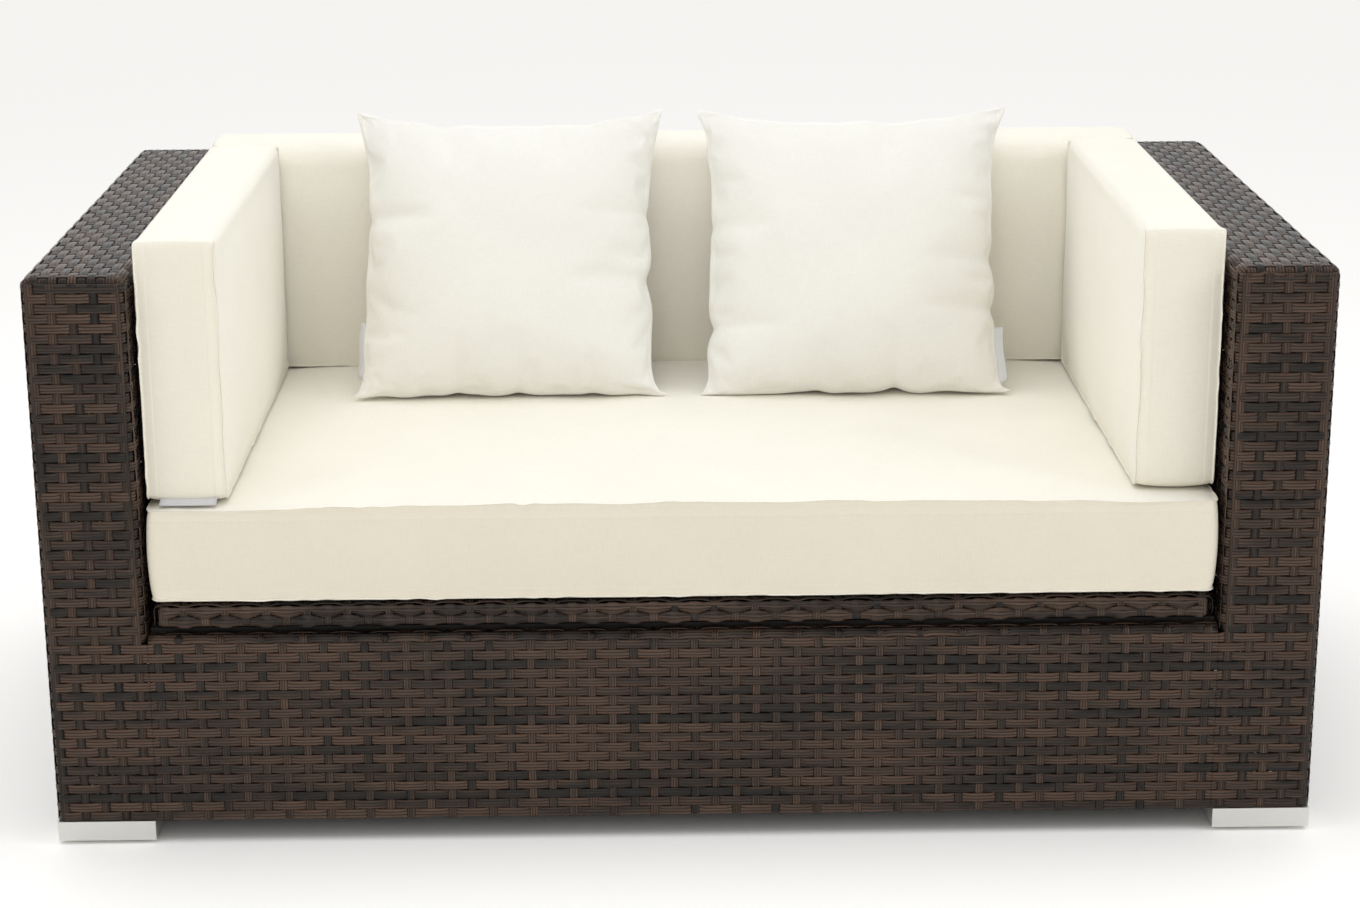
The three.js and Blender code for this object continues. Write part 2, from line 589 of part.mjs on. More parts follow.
// A stud along X from a bracket's face, with a head that keeps the stay on.
function stud(side, place, from) {
  const point = (x) => [side * x, place.y, place.z];
  const shank = bar(point(from), point(STUD_END), STUD_RADIUS);
  return shank.add(bar(point(STUD_END + STUD_HEAD_THICKNESS), point(STUD_END), STUD_HEAD_RADIUS));
}

function stay(side) {
  const hole = STUD_RADIUS + FIT_GAP;
  const turn = Math.PI / 2;
  const end = STAY_OPEN + STAY_END_ROOM;
  const shape = new THREE.Shape();
  shape.absarc(0, 0, STAY_HALF_WIDTH, turn, 3 * turn);
  shape.absarc(end, 0, STAY_HALF_WIDTH, -turn, turn);
  const pivot = new THREE.Path();
  pivot.absarc(0, 0, hole, 0, 2 * turn);
  pivot.absarc(0, 0, hole, 2 * turn, 4 * turn);
  const slot = new THREE.Path();
  slot.absarc(STAY_CLOSED, 0, hole, turn, 3 * turn);
  slot.absarc(STAY_OPEN, 0, hole, -turn, turn);
  shape.holes.push(pivot, slot);
  const direction = Math.atan2(STAY_PIN.z - STAY_PIVOT.z, STAY_PIN.y - STAY_PIVOT.y);
  const options = { depth: STAY_THICKNESS, bevelEnabled: false, curveSegments: ARC_DIVISIONS * 2 };
  const axes = new THREE.Matrix4().makeBasis(
    new THREE.Vector3(0, 1, 0), new THREE.Vector3(0, 0, 1), new THREE.Vector3(1, 0, 0));
  const geometry = new THREE.ExtrudeGeometry(shape, options).applyMatrix4(axes);
  const x = side > 0 ? STAY_INNER : -STAY_OUTER;
  return solidOf(geometry.rotateX(direction).translate(x, STAY_PIVOT.y, STAY_PIVOT.z));
}

function lidBracket(side) {
  const flangeTop = LID_BOTTOM - FIT_GAP;
  const web = onSide(side,
    [LID_WEB_INNER, STAY_PIVOT.y - BRACKET_HALF_WIDTH, STAY_PIVOT.z - STAY_HALF_WIDTH],
    [LID_WEB_INNER + BRACKET_THICKNESS, STAY_PIVOT.y + BRACKET_HALF_WIDTH, flangeTop]);
  const flange = onSide(side,
    [LID_WEB_INNER, STAY_PIVOT.y - BRACKET_HALF_WIDTH, flangeTop - BRACKET_THICKNESS],
    [LID_WEB_INNER + BRACKET_FLANGE_WIDTH, STAY_PIVOT.y + BRACKET_HALF_WIDTH, flangeTop]);
  return join([web, flange, stud(side, STAY_PIVOT, LID_WEB_INNER + FIT_GAP)]);
}

function frameBracket(side) {
  const plate = onSide(side,
    [FRAME_PLATE_INNER, STAY_PIN.y - BRACKET_HALF_WIDTH, STAY_PIN.z - BRACKET_HALF_WIDTH],
    [FRAME_PLATE_INNER + BRACKET_THICKNESS, STAY_PIN.y + BRACKET_HALF_WIDTH, BASE_HEIGHT]);
  return plate.add(stud(side, STAY_PIN, FRAME_PLATE_INNER + FIT_GAP));
}

// Cushions. A sewn box: two panels with a crown, a border between their seams, sides drawn
// in between the corners. The thickness lies along local Z, with the face panel at the top.
function sewnBox(form) {
  const { length, width, thickness, cells, face } = form;
  const [columns, rows] = cells;
  const half = thickness / 2;
  const across = (u, v, inset) => [
    u * (length / 2 - inset - CUSHION_DRAW_IN * (1 - v * v)),
    v * (width / 2 - inset - CUSHION_DRAW_IN * (1 - u * u)),
  ];
  const points = [];
  const index = [];
  const unit = (step, count) => (2 * step) / count - 1;
  const faceAt = (u, v) => half - CUSHION_CROWN + face(u, v);
  for (const side of [1, -1]) {
    for (let j = 0; j <= rows; j += 1) {
      for (let i = 0; i <= columns; i += 1) {
        const [u, v] = [unit(i, columns), unit(j, rows)];
        const [x, y] = across(u, v, EDGE_ROLL / 2 + SEAM_PROUD);
        points.push(x, y, side > 0 ? faceAt(u, v) : -half);
      }
    }
  }
  const edge = [];
  for (let i = 0; i < columns; i += 1) edge.push([i, 0]);
  for (let j = 0; j < rows; j += 1) edge.push([columns, j]);
  for (let i = columns; i > 0; i -= 1) edge.push([i, rows]);
  for (let j = rows; j > 0; j -= 1) edge.push([0, j]);
  const grid = (i, j, side) => j * (columns + 1) + i + (side > 0 ? 0 : (columns + 1) * (rows + 1));
  const rings = [edge.map(([i, j]) => grid(i, j, 1))];
  const bulge = BORDER_BULGE + SEAM_PROUD;
  const insets = [[SEAM_PROUD, 1], [bulge, 1], [SEAM_PROUD, 0], [bulge, -1], [SEAM_PROUD, -1]];
  const heights = [EDGE_ROLL / 2, EDGE_ROLL, 0, EDGE_ROLL, EDGE_ROLL / 2];
  insets.forEach(([inset, level], ring) => {
    const firstPoint = points.length / 3;
    edge.forEach(([i, j]) => {
      const [u, v] = [unit(i, columns), unit(j, rows)];
      const [x, y] = across(u, v, level === 0 ? SEAM_PROUD / 2 : inset - SEAM_PROUD);
      const top = faceAt(u, v) - heights[ring];
      const bottom = -half + heights[ring];
      points.push(x, y, level > 0 ? top : level < 0 ? bottom : (faceAt(u, v) - half) / 2);
    });
    rings.push(edge.map((_, step) => firstPoint + step));
  });
  rings.push(edge.map(([i, j]) => grid(i, j, -1)));
  for (let j = 0; j < rows; j += 1) {
    for (let i = 0; i < columns; i += 1) {
      for (const side of [1, -1]) {
        const quad = [grid(i, j, side), grid(i + 1, j, side),
          grid(i + 1, j + 1, side), grid(i, j + 1, side)];
        if (side < 0) quad.reverse();
        index.push(quad[0], quad[1], quad[2], quad[0], quad[2], quad[3]);
      }
    }
  }
  for (let ring = 0; ring + 1 < rings.length; ring += 1) {
    const [upper, lower] = [rings[ring], rings[ring + 1]];
    edge.forEach((_, step) => {
      const next = (step + 1) % edge.length;
      index.push(lower[step], lower[next], upper[next], lower[step], upper[next], upper[step]);
    });
  }
  return shaped(points, index);
}

function shaped(points, index) {
  const geometry = new THREE.BufferGeometry();
  geometry.setAttribute("position", new THREE.Float32BufferAttribute(points, 3));
  geometry.setIndex(index);
  geometry.computeVertexNormals();
  return geometry;
}

// The seat cushion is crowned where one sits and flat where the other cushions stand.
function seatFace(u, v) {
  const openShare = 0.84;
  const standShare = 0.12;
  const sideways = Math.max(0, 1 - (u / openShare) ** 2);
  const middle = (-1 + standShare) / 2;
  const reach = (1 + standShare) / 2;
  const lengthways = Math.max(0, 1 - ((v - middle) / reach) ** 2);
  return CUSHION_CROWN + SEAT_CROWN * Math.min(1, 2 * sideways * lengthways);
}

function crownFace(u, v) {
  return CUSHION_CROWN * (1 - u ** 4) * (1 - v ** 4);
}

// The back cushion's front also rolls away towards its top edge.
function backFace(u, v) {
  const rollStartShare = 0.5;
  const past = Math.max(0, v - rollStartShare) / (1 - rollStartShare);
  return crownFace(u, v) - BACK_TOP_ROLL * past * past;
}

// A scatter pillow: two panels on one seam, pointed at the corners, drawn in between them.
function pillowForm() {
  const points = [];
  const index = [];
  const unit = (step) => (2 * step) / PILLOW_CELLS - 1;
  const seam = new Map();
  const plumpShare = 0.42;
  const vertex = (i, j, side) => {
    const key = `${i},${j}`;
    const rim = i === 0 || j === 0 || i === PILLOW_CELLS || j === PILLOW_CELLS;
    if (rim && seam.has(key)) return seam.get(key);
    const [u, v] = [unit(i), unit(j)];
    const swell = ((1 - u * u) * (1 - v * v)) ** plumpShare;
    points.push(
      u * (PILLOW_WIDTH / 2 - PILLOW_DRAW_IN * (1 - v * v)),
      v * (PILLOW_HEIGHT / 2 - PILLOW_DRAW_IN * (1 - u * u)),
      side * PILLOW_THICKNESS / 2 * swell);
    const place = points.length / 3 - 1;
    if (rim) seam.set(key, place);
    return place;
  };
  for (const side of [1, -1]) {
    const grid = [];
    for (let j = 0; j <= PILLOW_CELLS; j += 1) {
      grid.push(Array.from({ length: PILLOW_CELLS + 1 }, (_, i) => vertex(i, j, side)));
    }
    for (let j = 0; j < PILLOW_CELLS; j += 1) {
      for (let i = 0; i < PILLOW_CELLS; i += 1) {
        const quad = [grid[j][i], grid[j][i + 1], grid[j + 1][i + 1], grid[j + 1][i]];
        if (side < 0) quad.reverse();
        const other = (i < PILLOW_CELLS / 2) === (j < PILLOW_CELLS / 2);
        if (other === side > 0) index.push(quad[0], quad[1], quad[2], quad[0], quad[2], quad[3]);
        else index.push(quad[1], quad[2], quad[3], quad[1], quad[3], quad[0]);
      }
    }
  }
  return shaped(points, index);
}

const sofa = new THREE.Group();

function add(name, solid, material) {
  const geometry = solid.isBufferGeometry ? solid : geometryOf(solid);
  const mesh = new THREE.Mesh(geometry, material);
  mesh.name = name;
  sofa.add(mesh);
  return mesh;
}

// Body
for (const [name, side] of [["left", -1], ["right", 1]]) {
  add(`${name}_arm_skin`, armSkin(side), MATERIALS.weave);
  add(`${name}_arm_frame`, armFrame(side), MATERIALS.frame);
  for (const bolt of BOLTS) add(`${name}_${bolt.name}`, boltSolid(side, bolt), MATERIALS.zinc);
  for (const [place, end] of [["front", -1], ["rear", 1]]) {
    add(`${name}_${place}_foot`, foot(side, end), MATERIALS.foot);
    add(`${name}_${place}_glide`, glide(side, end), MATERIALS.glide);
  }
}
add("back_skin", backSkin(), MATERIALS.weave);
add("back_frame", backFrame(), MATERIALS.frame);
add("front_panel_skin", frontSkin(), MATERIALS.weave);
add("front_panel_frame", frontFrame(), MATERIALS.frame);
add("seat_frame", seatFrame(), MATERIALS.frame);
add("floor_frame", floorFrame(), MATERIALS.frame);
add("storage_tray", storageTray(), MATERIALS.tray);

// Lid and its fittings
add("lid_skin", lidSkin(), MATERIALS.weave);
add("lid_frame", lidFrame(), MATERIALS.frame);
spread(-LID_HALF_WIDTH + HINGE_END_ROOM, LID_HALF_WIDTH - HINGE_END_ROOM, HINGES)
  .forEach((x, index) => {
    add(`hinge_${index + 1}_fixed_leaf`, hingeLeaf(x, false), MATERIALS.zinc);
    add(`hinge_${index + 1}_moving_leaf`, hingeLeaf(x, true), MATERIALS.zinc);
    add(`hinge_${index + 1}_pin`, hingePin(x), MATERIALS.zinc);
  });
for (const [name, side] of [["left", -1], ["right", 1]]) {
  add(`${name}_lid_stay`, stay(side), MATERIALS.zinc);
  add(`${name}_stay_lid_bracket`, lidBracket(side), MATERIALS.zinc);
  add(`${name}_stay_frame_bracket`, frameBracket(side), MATERIALS.zinc);
  add(`${name}_lid_bumper`, bumper(side), MATERIALS.rubber);
}

// Cushions
const seatCushion = add("seat_cushion", sewnBox({
  length: 2 * CUSHION_HALF_WIDTH, width: SEAT_CUSHION_DEPTH, thickness: SEAT_CUSHION_THICKNESS,
  cells: SEAT_CELLS, face: seatFace,
}), MATERIALS.cushion);
seatCushion.position.set(
  0, SEAT_FRONT + SEAT_CUSHION_DEPTH / 2, SEAT_TOP - SEAT_CUSHION_THICKNESS / 2);

const backRear = BACK_FRONT - UPRIGHT_GAP;
const backMiddle = backRear - BACK_CUSHION_THICKNESS / 2;
const uprightZ = UPRIGHT_BOTTOM + UPRIGHT_HEIGHT / 2;
const backCushion = add("back_cushion", sewnBox({
  length: 2 * CUSHION_HALF_WIDTH, width: UPRIGHT_HEIGHT, thickness: BACK_CUSHION_THICKNESS,
  cells: BACK_CELLS, face: backFace,
}), MATERIALS.cushion);
backCushion.rotation.x = Math.PI / 2;
backCushion.position.set(0, backMiddle, uprightZ);

const sideRear = backRear - BACK_CUSHION_THICKNESS - UPRIGHT_GAP;
for (const [name, side, inset] of [
  ["left", -1, LEFT_CUSHION_INSET], ["right", 1, RIGHT_CUSHION_INSET],
]) {
  const front = FRONT + inset;
  const cushion = add(`${name}_side_cushion`, sewnBox({
    length: sideRear - front, width: UPRIGHT_HEIGHT, thickness: SIDE_CUSHION_THICKNESS,
    cells: SIDE_CELLS, face: crownFace,
  }), MATERIALS.cushion);
  cushion.rotation.set(Math.PI / 2, 0, -side * Math.PI / 2, "ZXY");
  cushion.position.set(
    side * (CUSHION_HALF_WIDTH - SIDE_CUSHION_THICKNESS / 2), (sideRear + front) / 2, uprightZ);
}

const lean = THREE.MathUtils.degToRad(PILLOW_LEAN_DEGREES);
const pillowRear = sideRear - PILLOW_THICKNESS / 2;
for (const [name, x] of [["left_pillow", LEFT_PILLOW_X], ["right_pillow", RIGHT_PILLOW_X]]) {
  const pillow = add(name, pillowForm(), MATERIALS.cushion);
  pillow.rotation.x = Math.PI / 2 - lean;
  pillow.position.set(x, pillowRear - PILLOW_DRAW_IN,
    UPRIGHT_BOTTOM + (PILLOW_HEIGHT / 2) * Math.cos(lean));
}

export default sofa;
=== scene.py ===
"""Woven garden sofa: its strands, cushions and finishes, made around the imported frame.

Sizes in the weave functions are millimetres, as a weaver would give them. They become metres
when a mesh is made. The front of the sofa faces -Y and the floor is at zero.
"""

import itertools
import math

import bpy
import numpy as np
from mathutils import Matrix, Vector


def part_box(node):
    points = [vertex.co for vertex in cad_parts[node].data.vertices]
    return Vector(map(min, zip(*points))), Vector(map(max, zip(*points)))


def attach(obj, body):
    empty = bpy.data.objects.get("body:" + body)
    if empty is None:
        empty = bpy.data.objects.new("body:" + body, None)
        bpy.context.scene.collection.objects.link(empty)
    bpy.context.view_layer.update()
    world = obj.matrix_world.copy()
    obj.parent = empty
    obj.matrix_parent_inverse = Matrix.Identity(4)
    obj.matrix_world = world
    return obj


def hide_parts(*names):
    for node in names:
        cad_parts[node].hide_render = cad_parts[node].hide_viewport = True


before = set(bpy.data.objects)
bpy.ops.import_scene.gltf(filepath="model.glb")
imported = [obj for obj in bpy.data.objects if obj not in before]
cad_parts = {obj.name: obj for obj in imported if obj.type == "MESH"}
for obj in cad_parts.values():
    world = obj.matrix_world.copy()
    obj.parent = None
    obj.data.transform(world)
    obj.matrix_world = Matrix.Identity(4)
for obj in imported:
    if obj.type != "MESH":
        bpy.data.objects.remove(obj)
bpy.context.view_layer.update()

bl_info = {
    "name": "Woven Garden Sofa",
    "version": (1, 0, 0),
    "blender": (4, 5, 0),
    "location": "View3D > Sidebar > Sofa",
    "description": "Builds the weave, cushions, feet and finishes of a garden sofa on its frame",
    "category": "Add Mesh",
}

MM = 0.001
# Places this close, in millimetres, count as the same
TOUCH = 1e-6
SIDES = (("left", -1), ("right", 1))


def corners(node):
    """The lowest and highest corner of a frame node, in millimetres."""
    low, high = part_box(node)
    return np.array(low) / MM, np.array(high) / MM


ARM_LOW, ARM_HIGH = corners("right_arm_skin")
BACK_LOW = corners("back_skin")[0]
PANEL_HIGH = corners("front_panel_skin")[1]
LID_LOW, LID_HIGH = corners("lid_skin")

# How the strands lie, in millimetres. The middle of a weave lies MID_DEPTH under its node's
# face, and BEND is the radius of that middle round an edge.
MID_DEPTH = 2.0
BEND = 13.3
LID_BEND = 10.0
FIRST_ROW = 36.0
ROW_PITCH = 12.1
SIDE_PITCH = 25.15
FRONT_PITCH = 25.0
FRONT_POSTS = 62
ARM_POSTS = 5
SIDE_POSTS = 34
INNER_POSTS = 31
MIDDLE_POSTS = range(ARM_POSTS, FRONT_POSTS - ARM_POSTS)
LOW_ROWS = 19
ALL_ROWS = 56
ARM_TOP_ROWS = 11
BACK_TOP_ROWS = 7
PANEL_TOP_ROWS = 4
PANEL_TOP_PITCH = 11.9
# Rise of a row over a post and of a post over a row. A row starts and ends at a share of it.
FLOAT_RISE = 1.2
POST_RISE = 0.3
END_RISE = 0.3
# How a float falls from one crossing to the next: share of the way, share of the rise
FLOAT_FALL = ((0.40, 0.86), (0.62, 0.05), (0.80, -0.92))
# A strand is pressed wider where it lies low: its share wider at these heights
LOW_SPREAD = 0.30
LOW_SHAPE = ((-1.6, -1.0, 0.3), (0.0, 1.0, 0.0))
# A strand's outline: across as a share of its half width, then height in millimetres
STRAND_OUTLINE = np.array([
    (-1.0, -0.45), (-0.68, 0.42), (0.0, 0.85), (0.68, 0.42), (1.0, -0.45), (0.0, -0.60)])
OTHER_SIDE = [4, 3, 2, 1, 0, 5]
# Where posts start, where they end inside, and the legs that they end in behind an edge.
# A corner post is tucked in at its top. POST_BENDS are its points round an edge, in radians.
FOOT_OF_POSTS = 30.8
INNER_FOOT = 262.0
SHORT_LEG = 30.0
POST_END = 7.0
POST_TUCK = 2.2
TUCK_REACH = 9.0
POST_BENDS = np.radians([0, 18, 36, 54, 72, 90])
POST_STEP = 1.5
BACK_GAP = 2.0
TOP_GAP = 1.0
# The loop that ends each strand on an arm's top: degrees round the edge and heights there.
# A strand that faces up less than STEEP lies on the arm's round corner, and its loop is short.
LOOP_ANGLES = np.array([24.0, 31.0, 40.0, 51.0, 62.0, 77.0])
LOOP_OVER = np.array([1.05, 1.05, 1.0, 0.8, 0.0, -1.8])
LOOP_UNDER = np.array([-0.25, 0.55, 0.95, 0.85, 0.05, -1.8])
CORNER_LOOP_SHARE = 0.75
STEEP = 0.95
# The lid: its two rows on each edge, its end posts, and how its edge rows return at the ends
LID_PITCH = 11.9
LID_POSTS = 52
LID_FOOT = 1.3
LID_EDGE_ROWS = (5.1, 17.1)
LID_SIDE_POST = 8.0
LID_POST_GAP = 3.0
LID_RETURN = 16.0
LID_SIDE_START = 2.0
# Hand-made unevenness: how far strands drift from their lines, over waves of these shares
DRIFT_REACH = 420.0
DRIFT_WAVES = (1.0, 0.43, 0.21)
RISE_DRIFT = 0.12
ROW_DRIFT = 0.2
POST_DRIFT = 0.8
TOP_DRIFT = 0.5
STRAIGHT_DRIFT = 0.4
# The first number of each kind of random draw, and the first seed of each kind of strand
RISE_DRAW, TONE_DRAW, LEVEL_DRAW, POST_DRAW, POST_TONE_DRAW = 3, 5, 7, 13, 17
TOP_DRAW, TOP_TONE_DRAW, STRAIGHT_DRAW, LID_DRAW = 19, 23, 29, 31
ARM_SEED, ARM_SIDE_STEP = 200, 100
ARM_END_SEED, ARM_TOP_SEED, ARM_STEP, FACING_STEP = 400, 600, 50, 10
BACK_SEED, BACK_TOP_SEED, PANEL_SEED, PANEL_TOP_SEED = 800, 900, 1000, 1100
LID_ROW_SEED, LID_POST_SEED, LID_SIDE_SEED = 1300, 1500, 1600
# Step of a route's table, and how near a point of a post is to a crossing to be kept
TABLE_STEP = 0.2
SPOT_REACH = 0.01

# The middle of the weave on each face, where the arms' rows are cut, and the posts' places
OUTER = ARM_HIGH[0] - MID_DEPTH
INNER = ARM_LOW[0] + MID_DEPTH
FRONT = ARM_LOW[1] + MID_DEPTH
REAR = ARM_HIGH[1] - MID_DEPTH
TOP = ARM_HIGH[2] - MID_DEPTH
BACK_FACE = BACK_LOW[1] + MID_DEPTH
CUT = ARM_LOW[0]
POST_X = [-ARM_HIGH[0] + FRONT_PITCH * (step + 0.5) for step in range(FRONT_POSTS)]
POST_Y = [ARM_LOW[1] + SIDE_PITCH * (step + 0.5) for step in range(SIDE_POSTS)]

# How the boxed cushions are sewn, in millimetres. FAR stands for no seam near.
FAR = 1e3
FULL_FADE = 0.99
PLAN_ROUND = 16.0
# A seam: the grid lines beside it, its ridge, the dip beside that and the slope down to it
SEAM_LINES = (0.0, 2.4, 5.2, 10.0)
SEAM_RIDGE = 1.6
SEAM_TUCK = 1.4
SEAM_TUCK_REACH = 2.6
SEAM_SLOPE = 5.0
SEAM_SLOPE_REACH = 26.0
# Slow waves, puckers and folds: size, reach, and their shortest and longest wave and number
SEAM_WOBBLE = 0.8
WOBBLE_REACH = 14.0
WOBBLE_WAVES = (60, 240, 6)
PUCKER_SIZE = 0.9
PUCKER_REACH = 16.0
PUCKER_WAVES = (15, 34)
GATHER_WAVES = (90, 260, 4)
GATHER_LEVEL, GATHER_SWING = 0.55, 0.45
FOLD_SIZE = 1.0
FOLD_WAVES = (120, 360, 5)
FOLD_SLANTS = (0.35, 0.25)
FOLD_LEVEL = 1.6
FOLD_INSET = 30.0
# How far a border bulges, and how much it shares in the waves of its seams
BORDER_BULGE = 4.0
BORDER_SHARE = 0.8
BORDER_SIDE_REACH = 6.0
# The crown of the seat between its arms, the wrapped tops and the puffed faces
OPEN_SHARE = 0.84
CROWN_POWER = 4
PUFF_POWER = 3
BACK_WRAP = 36.0
SIDE_WRAP = 20.0
FACE_PUFF = 6.0
# How much painted shade, standing for the shade that a light from above leaves on a cushion's
# sides, its border takes on a level and on an upright cushion
LEVEL_BORDER_SHADE, UPRIGHT_BORDER_SHADE = 1.0, 0.5
# How a cushion that is sewn lying flat is turned into its place
UPRIGHT_BACK = ((1, 0, 0), (0, 0, -1), (0, 1, 0))
UPRIGHT_LEFT = ((0, 0, 1), (1, 0, 0), (0, 1, 0))
UPRIGHT_RIGHT = ((0, 0, -1), (-1, 0, 0), (0, 1, 0))
LEVEL = ((1, 0, 0), (0, 1, 0), (0, 0, 1))
SEAT_SEED, BACK_CUSHION_SEED, LEFT_SEED, RIGHT_SEED = 3, 5, 7, 11

# How the pillows are sewn and filled, in millimetres
PILLOW_COVER = 450.0
PILLOW_SIZE = (426.0, 400.0, 150.0)
PILLOW_LEAN = math.radians(22.0)
PILLOW_CELLS = 64
PILLOW_START = 6.0
PILLOW_FINE_ENDS = 0.55
PILLOW_FRAMES = 14
PILLOW_SLACK = 0.02
PILLOW_ROUND = 15.0
PILLOW_POWER = 2.4
PILLOW_SAG = 0.16
PILLOW_EDGE = 0.8
PILLOW_SEEDS = (21, 27)
EDGE_GATHER = (1.3, 34, 26, 70)
EDGE_WAVES = (60, 150, 5)
EDGE_WAVE_REACH = 30.0
THIN_EDGE = 20.0
# The simulated cloth of a cover while it fills
FILL_CLOTH = {
    "quality": 6, "mass": 0.2, "tension_stiffness": 20, "compression_stiffness": 20,
    "shear_stiffness": 6, "bending_stiffness": 0.4}
# The foot of a pillow is pushed forwards where it stands on the seat
SETTLE_RISE = 24.0
SETTLE_START = 0.45
SETTLE_POWER = 1.5
# The ears twist a little
EAR_TWIST = 5.0
EAR_POWER = 3
EAR_WAVES = (300, 900, 3)
EAR_DRAW = 9
SEAT_CLEARANCE = 0.8
# How far each side of a pillow is drawn in, and how sharply its ears flare at each end:
# axis, end, depth at the low and high end, power at the low and high end
PILLOW_SIDES = (
    (0, -1, 14.0, 28.0, 24.0, 3.8), (0, 1, 24.0, 27.0, 24.0, 3.8),
    (1, -1, 3.0, 3.0, 4.0, 4.0), (1, 1, 27.0, 27.0, 3.4, 3.4))
# Where a pillow's seam is pinched: axis, end, place from -1 to 1, depth
PILLOW_PINCHES = {
    "left": ((0, -1, 0.22, 9.0), (0, 1, 0.25, 8.0), (0, 1, -0.20, 7.0), (1, -1, -0.34, 8.0),
             (1, -1, 0.05, 5.0), (1, -1, 0.52, 5.0), (1, 1, -0.40, 4.0), (1, 1, 0.35, 3.0)),
    "right": ((0, -1, 0.15, 5.0), (0, -1, -0.54, 8.0), (0, 1, -0.08, 9.0), (0, 1, -0.43, 9.0),
              (1, -1, -0.25, 7.0), (1, -1, 0.24, 8.0), (1, 1, -0.30, 3.0), (1, 1, 0.20, 4.0))}
PINCH_WIDTH = 9.0
PINCH_DEPTH = 12.0
PINCH_REACH = 46.0
PINCH_SINK = 1.3

# The tags, in millimetres: length along the seam, how far they stick out, their fold as places
# out and aside, and how they wave
TAG_LENGTH = 68.0
TAG_DEPTH = 13.0
TAG_STEPS = 12
TAG_FOLD = ((-1.5, 0.7), (3.0, 0.8), (7.5, 0.9), (11.5, 0.8), (TAG_DEPTH, 0.0), (11.5, -0.8),
            (7.5, -0.9), (3.0, -0.8), (-1.5, -0.7))
TAG_WAVE = 0.5
TAG_WAVE_TURN = 3.0
# A tag laid flat, the step of its map and its thickness, in metres
TAG_MAP_STEP = 0.0038
TAG_THICKNESS = 0.00035
TAG_TINT = (0.70, 0.70, 0.71)
# Points of a side's seam: how far they are from the middle, how far from a height, in
# millimetres, and how far from the seam, in metres
SEAM_SIDE = 60.0
SEAM_BAND = 6.0
SEAM_CLOSE = 1e-4
# Where each tag sits: word, side, lowest point and the way it sticks out
PILLOW_TAGS = (("left", -1, 460.0, (-0.55, 0.8, 0.0)), ("right", 1, 448.0, (0.97, 0.2, 0.0)))
SIDE_TAG_SPOT = (2.0, 5.0, 6.5)
SIDE_TAG_OUT = (0.0, -0.86, -0.42)

WHITE = (1.0, 1.0, 1.0, 1.0)
# The range that most of a noise's values lie in, and the inputs of a colour Mix node
MID_NOISE = (0.3, 0.7)
MIX_INPUTS = (0, 6, 7)

# The woven resin: scales of its marbling and streaks along and across a strand, and what they
# and each strand's own tone add to the share of the lighter brown
TONE_SHIFT = 61.0
MARBLE_SCALE = (4.0, 0.35)
STREAK_SCALE = (22.0, 7.0)
MARBLE_NOISE = (0.42, 0.58)
MARBLE_SHARE = 0.75
TONE_SHARE = (-0.30, 0.25)
STREAK_SHARE = (-0.12, 0.32)
# Its two grooves and its edges, as shares of a strand's width from its middle. The colour darkens
# towards a near-black in the grooves and at the edges, which is painted shade.
GROOVE_PLACE = 0.155
GROOVE_WIDTH = (0.028, 0.095)
GROOVE_SHADE = 0.88
STRAND_SHADE_COLOUR = (0.005, 0.0045, 0.004, 1.0)
EDGE_PLACE = (0.43, 0.49)
EDGE_SHADE = 0.55
STREAK_RELIEF = 0.25
RESIN_ROUGHNESS = (0.22, 0.36)
RESIN_SURFACE = {"Specular IOR Level": 0.28, "Specular Tint": (1.0, 0.92, 0.84, 1.0)}

# The cloth: its threads in metres, its slubs both ways, its tones, the line of a seam and the
# turned-in seam allowance, which is lighter and stands up a little
THREAD = 0.0009
TAG_THREAD = 0.00045
SLUB_STRETCHES = ((60.0, 900.0, 1.0), (900.0, 60.0, 1.0))
SLUB_NOISE = (0.7, 1.3)
SLUB_TONES = (0.965, 1.01)
CLOUD_SCALE = 7.0
CLOUD_TONES = (-0.014, 0.014)
SEAM_WIDTH = (0.0006, 0.0016)
SEAM_SHADE = 0.05
SEAM_DENT = 1.2
ALLOWANCE_EDGE = (0.0150, 0.0175)
ALLOWANCE_BORDER = (0.40, 0.48)
ALLOWANCE_LIGHT = 0.018
ALLOWANCE_RELIEF = 2.6
THREAD_RELIEF = 0.35
SLUB_RELIEF = 0.65
CLOTH_RELIEF = 0.00016
CLOTH_ROUGHNESS = (0.95, 0.85)
CLOTH_SURFACE = {"Sheen Weight": 0.12, "Sheen Roughness": 0.5, "Specular IOR Level": 0.25}
# Painted shade on a cushion's border, its sides, which a light from above leaves darker
BORDER_SHADE_COLOUR = (0.855, 0.825, 0.765, 1.0)

# The finishes. Each rigid finish has a name, a colour or the setting that holds it, a stretch
# and scale of its grain, its change of tone, its relief in metres and its surface's values.
# BROAD_SCALE is the scale of the slow changes over all of them.
BROAD_SCALE = 9.0
FINISHES = {
    "foot_metal": ("Brushed Aluminium", "metal", (1, 60, 60), 40.0, 0.10, 0.00002,
                   {"Metallic": 0.85, "Roughness": (0.30, 0.42)}),
    "frame_paint": ("Painted Tube", "paint", (1, 1, 1), 900.0, 0.25, 0.00004,
                    {"Roughness": (0.38, 0.55)}),
    "tray_plastic": ("Moulded Tray", "tray", (1, 1, 1), 1500.0, 0.3, 0.00006,
                     {"Roughness": (0.5, 0.65)}),
    "glide_plastic": ("Glide Plastic", (0.012, 0.012, 0.012), (1, 1, 1), 1500.0, 0.3, 0.00004,
                      {"Roughness": (0.45, 0.6)}),
    "bumper_rubber": ("Bumper Rubber", (0.016, 0.015, 0.014), (1, 1, 1), 1100.0, 0.3, 0.00005,
                      {"Roughness": (0.75, 0.9)}),
    "zinc": ("Zinc Plate", (0.56, 0.56, 0.55), (1, 1, 1), 260.0, 0.28, 0.00002,
             {"Metallic": 1.0, "Roughness": (0.28, 0.45)}),
}
